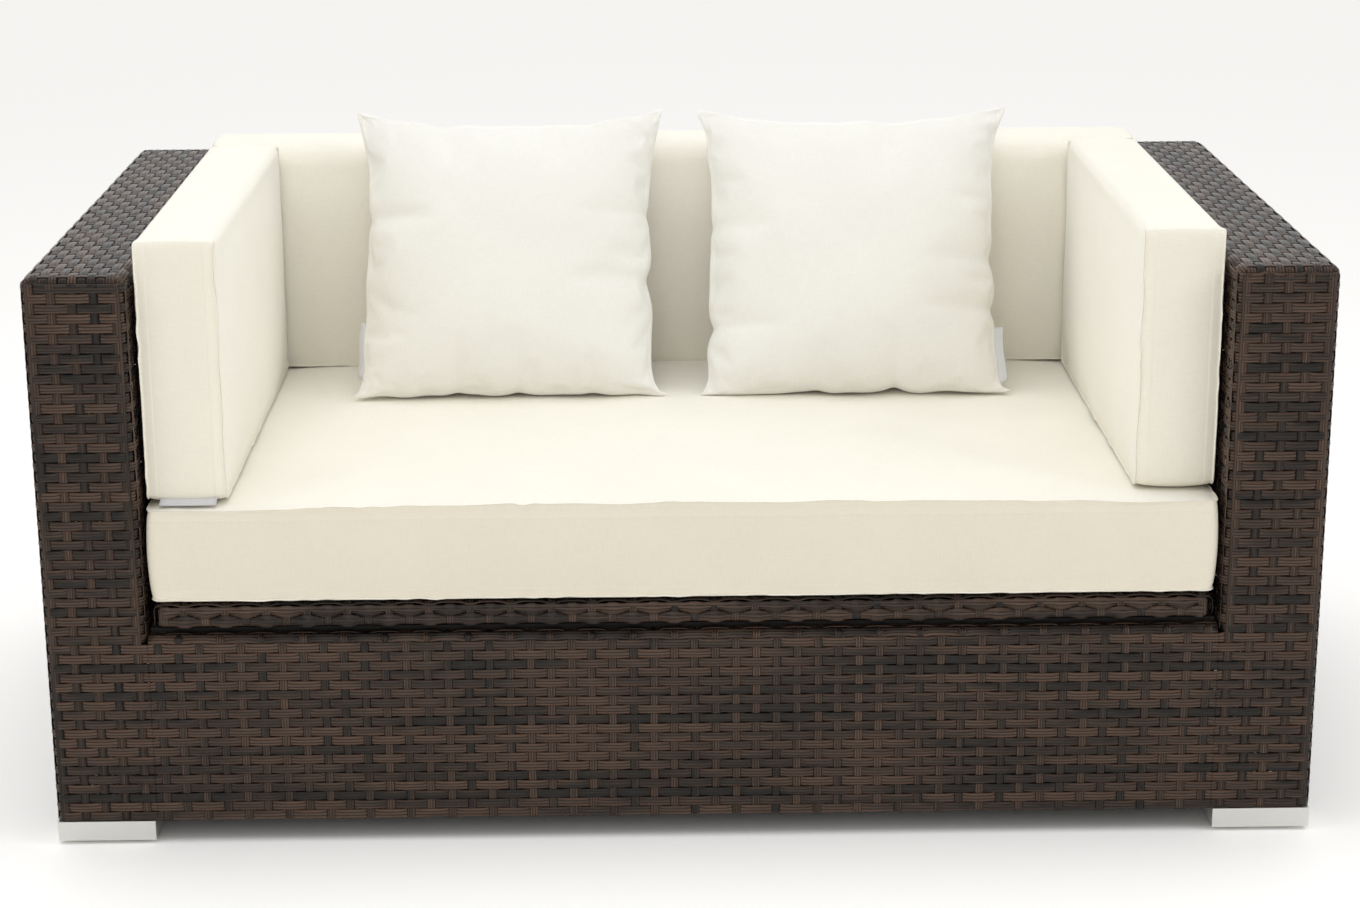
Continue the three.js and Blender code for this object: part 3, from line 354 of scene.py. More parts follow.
# Which finish a rigid node has, by a word in its name
FINISH_WORDS = (
    ("_foot", "foot_metal"), ("_glide", "glide_plastic"), ("_bumper", "bumper_rubber"),
    ("hinge_", "zinc"), ("_stay", "zinc"), ("_bolt", "zinc"), ("storage_tray", "tray_plastic"),
    ("_frame", "frame_paint"))

# The stage, in metres. The floor glows faintly beyond the sofa's own plan, which is FLOOR_SHADE;
# inside that plan it has no glow, a painted shadow under the sofa. The floor is a little deeper
# far behind it. Its clouds are a scale, a detail and a share.
FLOOR_SIZE = 60.0
FLOOR_GLOW = 0.16
GLOW_EDGE = 0.02
FLOOR_FADE = (0.2, 2.4, 0.0, 0.45)
FLOOR_DEEP = 0.91
FLOOR_CLOUDS = (0.7, 3.0, 0.15)
FLOOR_SHADE = (0.755, 0.41, 0.0)
FLOOR_SURFACE = {"Roughness": 0.9, "Specular IOR Level": 0.1,
                 "Emission Color": (1.0, 0.99, 0.97, 1.0)}
# Each light's name, place, aim, size in metres, share of the key light's power and tint
LIGHTS = (
    ("front_high", (-0.7, -4.2, 3.1), (0.0, 0.0, 0.45), 2.0, 0.12, (1.0, 0.98, 0.90)),
    ("front_low", (-0.3, -4.8, 1.9), (0.0, 0.0, 0.5), 2.4, 0.32, (1.0, 0.98, 0.92)),
    ("overhead", (-0.5, -0.2, 3.2), (0.0, 0.0, 0.4), 2.4, 0.34, (0.95, 0.975, 1.0)),
    ("right_fill", (3.2, -1.6, 2.6), (0.0, 0.0, 0.4), 1.8, 0.34, (0.93, 0.96, 1.0)),
    ("left_fill", (-3.2, -1.6, 2.6), (0.0, 0.0, 0.4), 1.8, 0.12, (0.93, 0.96, 1.0)),
)
ROOM_ALL, ROOM_BEHIND, ROOM_ABOVE = 0.42, 0.48, 0.40
CAMERA_SPOT = (-0.0525, -3.6581, 1.437)
CAMERA_YAW, CAMERA_PITCH, CAMERA_ROLL = (math.radians(turn) for turn in (0.857, 16.269, -0.332))
CAMERA_LENS = 74.93
SENSOR_WIDTH = 36.0
CLIP_END = 200.0


# Settings

def length(name, text, value, low=0.0, high=5.0):
    """A setting that is a length, in metres."""
    return bpy.props.FloatProperty(
        name=name, description=text, default=value, min=low, max=high, subtype="DISTANCE",
        unit="LENGTH")


def colour(name, text, value):
    """A setting that is a colour."""
    return bpy.props.FloatVectorProperty(
        name=name, description=text, default=value, min=0.0, max=1.0, size=3, subtype="COLOR")


class SofaWeaveSettings(bpy.types.PropertyGroup):
    """Sizes and colours of the woven strands"""
    row_width: length("Row width", "Width of the strands that run round the body", 0.0119)
    post_width: length("Post width", "Width of the strands that the rows cross", 0.0104)
    brown: colour("Brown", "The lighter brown in a strand", (0.092, 0.054, 0.037))
    dark: colour("Dark", "The near-black brown in a strand", (0.010, 0.009, 0.009))
    groove_depth: length("Groove depth", "Depth of the two grooves along a strand", 0.0003)


class SofaCushionSettings(bpy.types.PropertyGroup):
    """Sizes and colours of the cushions"""
    cell: length("Cell", "Size of a mesh cell before the last subdivision", 0.012, 0.006, 0.05)
    crown: length("Crown", "How far a panel rises from its seam", 0.006)
    cover: colour("Cover", "Colour of the cushion covers", (0.915, 0.882, 0.785))
    pillow: colour("Pillow", "Colour of the scatter pillows", (0.905, 0.885, 0.825))
    pressure: bpy.props.FloatProperty(
        name="Pressure", description="Pressure that fills the scatter pillows", default=4.0,
        min=0.5, max=20.0)


class SofaFinishSettings(bpy.types.PropertyGroup):
    """Colours of the rigid pieces"""
    metal: colour("Foot metal", "Colour of the feet", (0.70, 0.69, 0.665))
    paint: colour("Frame paint", "Colour of the painted frames", (0.045, 0.042, 0.040))
    tray: colour("Tray", "Colour of the moulded tray", (0.018, 0.018, 0.019))


class SofaStageSettings(bpy.types.PropertyGroup):
    """Floor, light and camera"""
    floor: colour("Floor", "Colour of the floor", (0.95, 0.94, 0.92))
    room: bpy.props.FloatProperty(
        name="Room light", description="Strength of the light from all round", default=1.03,
        min=0.0, max=10.0)
    key: bpy.props.FloatProperty(
        name="Key light", description="Power of the large light overhead", default=62.0,
        min=0.0, max=5000.0, subtype="POWER")


# Strands

class Route:
    """A flat line of straights and round bends, measured along its length."""

    def __init__(self, points, bends, outside=1):
        points = np.array(points, float)
        radii = [0.0, *bends, 0.0]
        self.outside = outside
        self.parts = []
        here, at = points[0], 0.0
        for step in range(1, len(points)):
            ahead = points[step] - points[step - 1]
            ahead = ahead / np.linalg.norm(ahead)
            stop, bend = points[step], None
            if radii[step] > 0:
                after = points[step + 1] - points[step]
                after = after / np.linalg.norm(after)
                turn = math.atan2(ahead[0] * after[1] - ahead[1] * after[0], ahead @ after)
                trim = radii[step] * math.tan(abs(turn) / 2)
                stop = points[step] - ahead * trim
                bend = (radii[step] * abs(turn), math.copysign(1 / radii[step], turn))
            run = float(np.linalg.norm(stop - here))
            self.parts.append((at, here, ahead, 0.0))
            at += run
            here = stop
            if bend:
                self.parts.append((at, here, ahead, bend[1]))
                at += bend[0]
                here = points[step] + after * trim
        self.length = at
        steps = np.arange(0.0, at, TABLE_STEP)
        self.table = (steps, self.at(steps)[0])

    def at(self, places):
        """The points and the outward normals at these lengths along the line."""
        places = np.asarray(places, float)
        point = np.zeros((*places.shape, 2))
        heading = np.zeros((*places.shape, 2))
        for number, (start, origin, ahead, bend) in enumerate(self.parts):
            here = places >= start if number else np.ones(places.shape, bool)
            run = (places[here] - start)[:, None]
            aside = np.array([-ahead[1], ahead[0]])
            if bend:
                turn = run * bend
                point[here] = (
                    origin + np.sin(turn) / bend * ahead + (1 - np.cos(turn)) / bend * aside)
                heading[here] = np.cos(turn) * ahead + np.sin(turn) * aside
            else:
                point[here] = origin + run * ahead
                heading[here] = ahead
        normal = self.outside * np.stack([heading[..., 1], -heading[..., 0]], -1)
        return point, normal

    def near(self, x, y):
        """The length along the line of its point nearest to this one."""
        steps, points = self.table
        return float(steps[np.argmin(np.hypot(points[:, 0] - x, points[:, 1] - y))])


def float_heights(spots, signs, start, end):
    """Places along a row and its heights there: level floats that dip under at their ends."""
    places, heights = [start], [END_RISE * signs[0]]
    for step, (spot, sign) in enumerate(zip(spots, signs)):
        places.append(spot)
        heights.append(sign)
        if step + 1 == len(spots):
            break
        gap = spots[step + 1] - spot
        if signs[step + 1] == sign:
            places += [spot + gap / 3, spot + gap * 2 / 3]
            heights += [sign, sign]
        elif sign > 0:
            places += [spot + gap * part for part, _ in FLOAT_FALL]
            heights += [level for _, level in FLOAT_FALL]
        else:
            places += [spot + gap * (1 - part) for part, _ in reversed(FLOAT_FALL)]
            heights += [level for _, level in reversed(FLOAT_FALL)]
    places.append(end)
    heights.append(END_RISE * signs[-1])
    return np.array(places), np.array(heights)


def ribs(centre, normal, half_width):
    """The outline of a strand at each point of its path."""
    ahead = np.gradient(centre, axis=0)
    ahead /= np.linalg.norm(ahead, axis=1, keepdims=True)
    across = np.cross(normal, ahead)
    across /= np.linalg.norm(across, axis=1, keepdims=True)
    up = np.cross(ahead, across)
    return (centre[:, None, :]
            + across[:, None, :] * STRAND_OUTLINE[None, :, :1] * half_width[:, None, None]
            + up[:, None, :] * STRAND_OUTLINE[None, :, 1:])


def strand(centre, normal, width, along, tone, heights=1.0):
    """One strand: its ribs, the length along it in metres, and its own tone. It is pressed
    wider where it lies low, under the edges of its neighbours, so the weave is tight."""
    half_width = width / MM / 2 * (1 + LOW_SPREAD * np.interp(heights, *LOW_SHAPE))
    half_width = np.broadcast_to(half_width, len(centre))
    return {"ribs": ribs(centre, normal, half_width), "along": np.asarray(along) * MM,
            "tone": tone}


def cut_strand(whole, places, low, high):
    """The stretch of a strand between two of its places."""
    keep = (places >= low - TOUCH) & (places <= high + TOUCH)
    return {"ribs": whole["ribs"][keep], "along": whole["along"][keep], "tone": whole["tone"]}


def new_object(name, mesh):
    """An object with this mesh, put into the scene."""
    piece = bpy.data.objects.new(name, mesh)
    bpy.context.scene.collection.objects.link(piece)
    return piece


def weave_object(name, strands):
    """A mesh of closed strands with a length-and-width map and a tone for each strand."""
    around = len(STRAND_OUTLINE)
    points, quads, caps, maps, tones = [], [], [], [], []
    first = 0
    side = (STRAND_OUTLINE[:, 0] + 1) / 2
    ring = np.arange(around)
    for item in strands:
        count = len(item["ribs"])
        points.append(item["ribs"].reshape(-1, 3))
        rows = first + np.arange(count - 1)[:, None] * around
        quads.append(np.stack([
            rows + ring, rows + around + ring, rows + around + (ring + 1) % around,
            rows + (ring + 1) % around], -1).reshape(-1, 4))
        caps.append(first + ring)
        caps.append((first + (count - 1) * around + ring)[::-1])
        maps.append(np.stack(np.broadcast_arrays(item["along"][:, None], side), -1).reshape(-1, 2))
        tones.append(np.full(count * around, item["tone"]))
        first += count * around
    points = np.concatenate(points) * MM
    quads, caps = np.concatenate(quads), np.array(caps)
    corner_points = np.concatenate([quads.ravel(), caps.ravel()]).astype(np.int32)
    starts = np.concatenate([
        np.arange(len(quads)) * 4, len(quads) * 4 + np.arange(len(caps)) * around])
    mesh = bpy.data.meshes.new(name)
    mesh.vertices.add(len(points))
    mesh.vertices.foreach_set("co", points.astype(np.float32).ravel())
    mesh.loops.add(len(corner_points))
    mesh.polygons.add(len(starts))
    mesh.polygons.foreach_set("loop_start", starts.astype(np.int32))
    mesh.polygons.foreach_set("vertices", corner_points)
    mesh.polygons.foreach_set("use_smooth", np.arange(len(starts)) < len(quads))
    mesh.update(calc_edges=True)
    layer = mesh.uv_layers.new(name="UVMap")
    layer.data.foreach_set(
        "uv", np.concatenate(maps)[corner_points].astype(np.float32).ravel())
    attribute = mesh.attributes.new("tone", "FLOAT", "POINT")
    attribute.data.foreach_set("value", np.concatenate(tones).astype(np.float32))
    mesh.validate()
    return new_object(name, mesh)


def row_height(number):
    """The height of a level row's middle."""
    return FIRST_ROW + ROW_PITCH * number


def over(index):
    """1 where a row of this number lies over its post, and -1 where it lies under it."""
    return 1 if index % 2 == 0 else -1


def drift(seed, point, size):
    """A slow, smooth drift that depends on the place alone, so pieces meet without a step."""
    rng = np.random.default_rng(seed)
    total = np.zeros(len(point))
    for axis in range(point.shape[1]):
        for part in DRIFT_WAVES:
            phase = rng.uniform(0, 2 * math.pi)
            total += part * np.sin(2 * math.pi * point[:, axis] / (DRIFT_REACH * part) + phase)
    return total * size / 2


def own_tone(seed, draw=TONE_DRAW):
    """A strand's own tone, from 0 to 1, which is the same in all of its pieces."""
    return float(np.random.default_rng([draw, seed]).uniform())


def level_row(route, spots, row, cuts, settings, along, held=()):
    """A row that lies level on the body: the whole strand and the places of its ribs. It lies
    over the posts at the held places, whatever its turn."""
    spots = sorted(spots)
    signs = [1 if spot in held else over(index + row) for spot, index in spots]
    places, heights = float_heights([spot for spot, _ in spots], signs, 0.0, route.length)
    joined = np.unique(np.concatenate([places, cuts]))
    heights = np.interp(joined, places, heights)
    point, normal = route.at(joined)
    rise = FLOAT_RISE * heights * (1 + drift([RISE_DRAW, row], point, RISE_DRIFT))
    level = row_height(row) + drift([LEVEL_DRAW, row], point, ROW_DRIFT)
    centre = np.column_stack([point + normal * rise[:, None], level])
    normal = np.column_stack([normal, np.zeros(len(joined))])
    whole = strand(centre, normal, settings.row_width, along(joined), own_tone(row), heights)
    return whole, joined


def outer_spots(route):
    """Where a row crosses the posts round the outside, each with the number of its turn."""
    last = FRONT_POSTS - 1
    spots = [(route.near(POST_X[i], FRONT), i) for i in range(ARM_POSTS)]
    spots += [(route.near(-OUTER, y), -1 - j) for j, y in enumerate(POST_Y)]
    spots += [(route.near(x, REAR), m + 1) for m, x in enumerate(POST_X)]
    spots += [(route.near(OUTER, y), j) for j, y in enumerate(POST_Y)]
    spots += [(route.near(POST_X[last - i], FRONT), last - i) for i in range(ARM_POSTS)]
    return spots


def body_rows(settings):
    """All level rows of the body, each shared among the pieces that it runs through."""
    shared = {name: [] for name in (
        "left_arm_rows", "right_arm_rows", "back_rear_rows", "panel_rows", "back_front_rows")}
    step, last = FRONT_PITCH, FRONT_POSTS - 1
    low = Route(
        [(step - CUT, FRONT), (-OUTER, FRONT), (-OUTER, REAR), (OUTER, REAR), (OUTER, FRONT),
         (CUT - step, FRONT)], [BEND] * 4, outside=-1)
    high = Route(
        [(-INNER, BACK_FACE), (-INNER, FRONT), (-OUTER, FRONT), (-OUTER, REAR), (OUTER, REAR),
         (OUTER, FRONT), (INNER, FRONT), (INNER, BACK_FACE)], [BEND] * 6, outside=-1)
    panel = Route([(CUT + step, FRONT), (-CUT - step, FRONT)], [], outside=-1)
    back = Route([(-CUT + BACK_GAP, BACK_FACE), (CUT - BACK_GAP, BACK_FACE)], [])
    low_spots = outer_spots(low) + [
        (low.near(POST_X[i], FRONT), i) for i in (ARM_POSTS, last - ARM_POSTS)]
    high_spots = outer_spots(high)
    for j, y in enumerate(POST_Y[:INNER_POSTS]):
        high_spots += [(high.near(-INNER, y), j + 1), (high.near(INNER, y), j)]
    panel_spots = [(CUT + step - x, i) for i, x in enumerate(POST_X) if abs(x) < CUT + step]
    back_spots = [(POST_X[m] + CUT - BACK_GAP, m + 1) for m in MIDDLE_POSTS]
    # The left arm's top front row lies over all posts but the outermost.
    held = [high.near(POST_X[i], FRONT) for i in range(1, ARM_POSTS)]

    for row in range(ALL_ROWS):
        below_seat = row < LOW_ROWS
        route, spots = (low, low_spots) if below_seat else (high, high_spots)
        start, stop = (step, route.length - step) if below_seat else (0.0, route.length)
        cuts = [start, route.near(-CUT, REAR), route.near(CUT, REAR), stop]
        whole, places = level_row(
            route, spots, row, cuts, settings, lambda at: -CUT + step - at,
            held if row == ALL_ROWS - 1 else ())
        shared["left_arm_rows"].append(cut_strand(whole, places, cuts[0], cuts[1]))
        shared["back_rear_rows"].append(cut_strand(whole, places, cuts[1], cuts[2]))
        right = cut_strand(whole, places, cuts[2], cuts[3])
        right["along"] = right["along"] + (2 * (CUT - step) + route.length) * MM
        shared["right_arm_rows"].append(right)
        if below_seat:
            ends = [step, panel.length - step]
            whole, places = level_row(
                panel, panel_spots, row, ends, settings, lambda at: CUT + step - at)
            shared["panel_rows"].append(cut_strand(whole, places, *ends))
        else:
            whole, _ = level_row(back, back_spots, row, [], settings, lambda at: at - CUT)
            shared["back_front_rows"].append(whole)
    return shared


def upright(route, place, crossings, settings, seed, turned=False, tuck=0.0):
    """A post that crosses the rows. Its route lies in a plane across the body at one place:
    in Y and Z at an X, or, turned, in X and Z at a Y. Tuck draws its upper end inwards."""
    spots = np.array([spot for spot, _ in crossings])
    heights = np.array([-sign for _, sign in crossings], float)
    places = [0.0, *spots, route.length]
    for start, _, _, bend in route.parts:
        if bend:
            places += list(start + BEND * POST_BENDS)
    places = np.unique(np.clip(np.round(places, 3), 0, route.length))
    near = np.min(np.abs(places[:, None] - spots[None, :]), axis=1) < SPOT_REACH
    spaced = np.concatenate([[True], np.diff(places) > POST_STEP])
    places = places[near | spaced | (places == route.length)]
    order = np.argsort(spots)
    rise = POST_RISE * np.interp(places, spots[order], heights[order])
    if tuck:
        rise = rise - tuck * np.clip((places - route.length + TUCK_REACH) / TUCK_REACH, 0, 1)
    point, normal = route.at(places)
    point = point + normal * rise[:, None]
    aside = place + drift([POST_DRAW, seed], point, POST_DRIFT)
    centre = np.column_stack([aside, point])
    normal = np.column_stack([np.zeros(len(places)), normal])
    if turned:
        centre, normal = centre[:, [1, 0, 2]], normal[:, [1, 0, 2]]
    return strand(
        centre, normal, settings.post_width, places, own_tone(seed, POST_TONE_DRAW))


def mirrored(item):
    """The same strand on the other side, its ribs turned so that it stays right side out."""
    return {**item, "ribs": item["ribs"][:, OTHER_SIDE] * np.array([-1.0, 1.0, 1.0])}


def arm_top_row(section, place, crossings, settings, seed):
    """A strand along the top of an arm, from a tucked loop in front to one at the rear."""
    point, normal = (part[0] for part in section.at(np.array([place])))
    centre_line = point - normal * BEND
    start = FRONT + BEND
    spots = [spot for spot, _ in crossings]
    signs = [sign for _, sign in crossings]
    places, heights = float_heights(spots, signs, spots[0], spots[-1])
    reach = 1.0 if abs(normal[1]) > STEEP else CORNER_LOOP_SHARE
    loop = BEND * np.radians(LOOP_ANGLES) * reach
    loop_heights = {1: LOOP_OVER, -1: LOOP_UNDER}
    places = np.concatenate([(start - loop)[::-1], places[1:-1], loop - start])
    heights = np.concatenate(
        [loop_heights[signs[0]][::-1], heights[1:-1], loop_heights[signs[-1]]])
    turn = np.clip((np.abs(places) + start) / BEND, 0, None)
    facing = np.column_stack([
        normal[0] * np.cos(turn), np.sign(places) * np.sin(turn), normal[1] * np.cos(turn)])
    centre = np.column_stack([
        np.full(len(places), centre_line[0]), np.clip(places, start, -start),
        np.full(len(places), centre_line[1])])
    centre = centre + facing * (BEND + FLOAT_RISE * heights)[:, None]
    centre[:, 0] += drift([TOP_DRAW, seed], places[:, None], TOP_DRIFT) * normal[1]
    return strand(
        centre, facing, settings.row_width, places, own_tone(seed, TOP_TONE_DRAW), heights)


def rows_round(section, outer, inner, top_rows):
    """The places of the rows on a section that runs up one face, over the top and down the
    other: those up and over the top in order, and those down by the number of the row."""
    up = [section.near(outer, row_height(row)) for row in range(ALL_ROWS)]
    down = {row: section.near(inner, row_height(row)) for row in range(LOW_ROWS, ALL_ROWS)}
    step = (down[ALL_ROWS - 1] - up[-1]) / (top_rows + 1)
    return up + [up[-1] + step * (number + 1) for number in range(top_rows)], down


def arm_uprights(side, settings):
    """An arm's posts and the strands along its top, made on the left and mirrored."""
    flip = 0 if side < 0 else 1
    section, short = (Route(
        [(-OUTER, FOOT_OF_POSTS), (-OUTER, TOP), (-INNER, TOP), (-INNER, foot)], [BEND, BEND],
        outside=-1) for foot in (INNER_FOOT, TOP - SHORT_LEG))
    rows_up, rows_down = rows_round(section, -OUTER, -INNER, ARM_TOP_ROWS)
    made = []
    for j, y in enumerate(POST_Y):
        inside = j < INNER_POSTS
        crossings = [(spot, over(-1 - j + row + flip)) for row, spot in enumerate(rows_up)]
        if inside:
            crossings += [
                (spot, over(ARM_POSTS + j + row + flip)) for row, spot in rows_down.items()]
        made.append(upright(
            section if inside else short, y, crossings, settings,
            ARM_SIDE_STEP * side + j + ARM_SEED, turned=True))
    for facing, depth in ((-1, FRONT), (1, REAR)):
        front = Route([(depth, FOOT_OF_POSTS), (depth, TOP - POST_END)], [], outside=-facing)
        for i in range(ARM_POSTS):
            index = i if facing < 0 else -1 - SIDE_POSTS - i
            crossings = [(row_height(row) - FOOT_OF_POSTS, over(index + row + flip))
                         for row in range(ALL_ROWS)]
            made.append(upright(
                front, POST_X[i], crossings, settings,
                ARM_END_SEED + ARM_STEP * side + FACING_STEP * facing + i, tuck=POST_TUCK))
    for number, place in enumerate(rows_up[ALL_ROWS:]):
        crossings = [(y, over(-1 - j + ALL_ROWS + number + flip)) for j, y in enumerate(POST_Y)]
        made.append(arm_top_row(
            section, place, crossings, settings, ARM_TOP_SEED + ARM_STEP * side + number))
    return made if side < 0 else [mirrored(item) for item in made]


def straight_row(section, place, shift, row, settings, seed):
    """A straight row along X over the top of the back or the panel, at one place of its
    section. Shift is added to each post's number for its turn."""
    (y, z), (normal_y, normal_z) = (part[0] for part in section.at(np.array([place])))
    start, end = np.array([-CUT + TOP_GAP, y, z]), np.array([CUT - TOP_GAP, y, z])
    run = float(np.linalg.norm(end - start))
    places, heights = float_heights(
        [POST_X[m] - start[0] for m in MIDDLE_POSTS],
        [over(m + shift + row) for m in MIDDLE_POSTS], 0.0, run)
    centre = start + (end - start) * (places / run)[:, None]
    facing = np.tile(np.array([0.0, normal_y, normal_z]), (len(places), 1))
    sway = drift([STRAIGHT_DRAW, seed], places[:, None], STRAIGHT_DRIFT)
    centre = centre + facing * (FLOAT_RISE * heights)[:, None]
    centre += np.cross(facing, [1.0, 0.0, 0.0]) * sway[:, None]
    return strand(
        centre, facing, settings.row_width, places + start[0], own_tone(seed), heights)


def back_uprights(settings):
    """The back's posts and the rows along its top."""
    section = Route(
        [(REAR, FOOT_OF_POSTS), (REAR, TOP), (BACK_FACE, TOP), (BACK_FACE, INNER_FOOT)],
        [BEND, BEND])
    rows_up, rows_down = rows_round(section, REAR, BACK_FACE, BACK_TOP_ROWS)
    made = []
    for m in MIDDLE_POSTS:
        crossings = [(spot, over(m + 1 + row))
                     for row, spot in (*enumerate(rows_up), *rows_down.items())]
        made.append(upright(section, POST_X[m], crossings, settings, BACK_SEED + m))
    for number, place in enumerate(rows_up[ALL_ROWS:]):
        made.append(straight_row(
            section, place, 1, ALL_ROWS + number, settings, BACK_TOP_SEED + number))
    return made


def panel_uprights(settings):
    """The front panel's posts and the rows over its top edge."""
    top, rear = PANEL_HIGH[2] - MID_DEPTH, PANEL_HIGH[1] - MID_DEPTH
    section = Route(
        [(FRONT, FOOT_OF_POSTS), (FRONT, top), (rear, top), (rear, top - SHORT_LEG)],
        [BEND, BEND], outside=-1)
    rows = [row_height(row) - FOOT_OF_POSTS for row in range(LOW_ROWS)]
    rows += [rows[-1] + PANEL_TOP_PITCH * (number + 1) for number in range(PANEL_TOP_ROWS)]
    made = []
    for i in MIDDLE_POSTS:
        crossings = [(spot, over(i + row)) for row, spot in enumerate(rows)]
        made.append(upright(section, POST_X[i], crossings, settings, PANEL_SEED + i))
    for number in range(LOW_ROWS, LOW_ROWS + PANEL_TOP_ROWS):
        made.append(straight_row(
            section, rows[number], 0, number, settings, PANEL_TOP_SEED + number))
    return made


def lid_row(route, spots, number, base, order, settings):
    """A row of the lid. Base is its place on the axis that its route leaves out, and order
    puts that axis where it belongs."""
    places, heights = float_heights(
        [spot for spot, _ in spots], [over(i + number) for _, i in spots], 0.0, route.length)
    point, normal = route.at(places)
    point = point + normal * (FLOAT_RISE * heights)[:, None]
    level = base + drift([LID_DRAW, number], point, STRAIGHT_DRIFT)
    centre = np.column_stack([point, level])[:, order]
    facing = np.column_stack([normal, np.zeros(len(places))])[:, order]
    return strand(centre, facing, settings.row_width, places, own_tone(LID_ROW_SEED + number),
                  heights)


def lid_side_post(side, half, line, row_places, settings):
    """The level post on one end face of the lid, which the rows cross on their way down."""
    index = -1 if side < 0 else LID_POSTS
    spots = np.array([place - row_places[2] + LID_SIDE_START for place in row_places[2:-2]])
    signs = np.array([over(index + number) for number in range(2, len(row_places) - 2)])
    centre = np.column_stack([side * (half - POST_RISE * signs), line.at(spots)[0]])
    facing = np.tile([float(side), 0.0, 0.0], (len(spots), 1))
    return strand(
        centre, facing, settings.post_width, spots, own_tone(LID_SIDE_SEED + side))


def lid_strands(settings):
    """The lid's rows and posts, wrapped down over all four edges."""
    half = LID_HIGH[0] - MID_DEPTH
    front, rear = LID_LOW[1] + MID_DEPTH, LID_HIGH[1] - MID_DEPTH
    foot, top = LID_LOW[2] + LID_FOOT, LID_HIGH[2] - MID_DEPTH
    side_level = foot + LID_SIDE_POST
    along_y = Route(
        [(front, foot), (front, top), (rear, top), (rear, foot)], [LID_BEND] * 2, outside=-1)
    along_x = Route(
        [(-half, foot), (-half, top), (half, top), (half, foot)], [LID_BEND] * 2, outside=-1)
    level = [foot + rise for rise in LID_EDGE_ROWS]
    first, final = along_y.near(front, level[1]), along_y.near(rear, level[1])
    gaps = round((final - first) / LID_PITCH)
    inner = [first + (final - first) * (number + 1) / gaps for number in range(gaps - 1)]
    row_places = [along_y.near(front, level[0]), first, *inner, final,
                  along_y.near(rear, level[0])]
    side_spot = along_x.near(-half, side_level)
    post_x = np.linspace(
        -half + LID_BEND + LID_POST_GAP, half - LID_BEND - LID_POST_GAP, LID_POSTS)
    post_spots = [(along_x.near(x, top), i) for i, x in enumerate(post_x)]
    row_spots = [(side_spot, -1), *post_spots, (along_x.length - side_spot, LID_POSTS)]
    rows, posts = [], []
    for number, place in enumerate(row_places):
        from_edge = min(number, len(row_places) - 1 - number)
        if from_edge < len(level):
            facing, depth = (-1, front) if number < len(level) else (1, rear)
            back = depth - facing * LID_RETURN
            edge = Route([(-half, back), (-half, depth), (half, depth), (half, back)],
                         [LID_BEND] * 2, outside=facing)
            spots = [(edge.near(x, depth), i) for i, x in enumerate(post_x)]
            rows.append(lid_row(edge, spots, number, level[from_edge], (0, 1, 2), settings))
        else:
            y = along_y.at(np.array([place]))[0][0][0]
            rows.append(lid_row(along_x, row_spots, number, y, (0, 2, 1), settings))
    for i, x in enumerate(post_x):
        crossings = [(place, over(i + number)) for number, place in enumerate(row_places)]
        posts.append(upright(along_y, x, crossings, settings, LID_POST_SEED + i))
    line = Route([(front + LID_BEND, side_level), (rear - LID_BEND, side_level)], [])
    posts += [lid_side_post(side, half, line, row_places, settings) for side in (-1, 1)]
    return rows, posts


# Materials

def fill(tree, target, source):
    """Joins a socket to an input, or sets the input to a value."""
    if isinstance(source, bpy.types.NodeSocket):
        tree.links.new(source, target)
    else:
        target.default_value = source


def node(tree, kind, links=(), **values):
    """A new node with these values, its inputs filled or joined."""
    made = tree.nodes.new(kind)
    for name, value in values.items():
        setattr(made, name, value)
    for name, source in dict(links).items():
        fill(tree, made.inputs[name], source)
    return made


def maths(tree, operation, *values, clamp=False):
    """One step of arithmetic on values or sockets."""
    made = node(tree, "ShaderNodeMath", operation=operation, use_clamp=clamp)
    for target, value in zip(made.inputs, values):
        fill(tree, target, value)
    return made.outputs[0]


def mixed(tree, factor, first, second, mode="MIX"):
    """Two colours, mixed by a factor."""
    made = node(tree, "ShaderNodeMix", data_type="RGBA", blend_type=mode)
    for number, value in zip(MIX_INPUTS, (factor, first, second)):
        fill(tree, made.inputs[number], value)
    return made.outputs[2]


def ranged(tree, value, low, high, to_low=0.0, to_high=1.0):
    """A value taken from one range to another, and held inside it."""
    made = node(tree, "ShaderNodeMapRange", {
        "Value": value, "From Min": low, "From Max": high, "To Min": to_low, "To Max": to_high})
    return made.outputs["Result"]


def noise(tree, vector, scale, detail=2.0, rough=0.5):
    """Smooth random values from 0 to 1."""
    made = node(tree, "ShaderNodeTexNoise", {
        "Vector": vector, "Scale": scale, "Detail": detail, "Roughness": rough})
    return made.outputs["Fac"]


def group_tree(name, inputs, outputs):
    """An empty shader node group, with its inputs' sockets and its outputs' sockets."""
    tree = bpy.data.node_groups.new(name, "ShaderNodeTree")
    for label, kind, value in inputs:
        made = tree.interface.new_socket(label, in_out="INPUT", socket_type=kind)
        made.default_value = value
    for label, kind in outputs:
        tree.interface.new_socket(label, in_out="OUTPUT", socket_type=kind)
    return tree, node(tree, "NodeGroupInput").outputs, node(tree, "NodeGroupOutput").inputs


COLOUR, VALUE, VECTOR = "NodeSocketColor", "NodeSocketFloat", "NodeSocketVector"


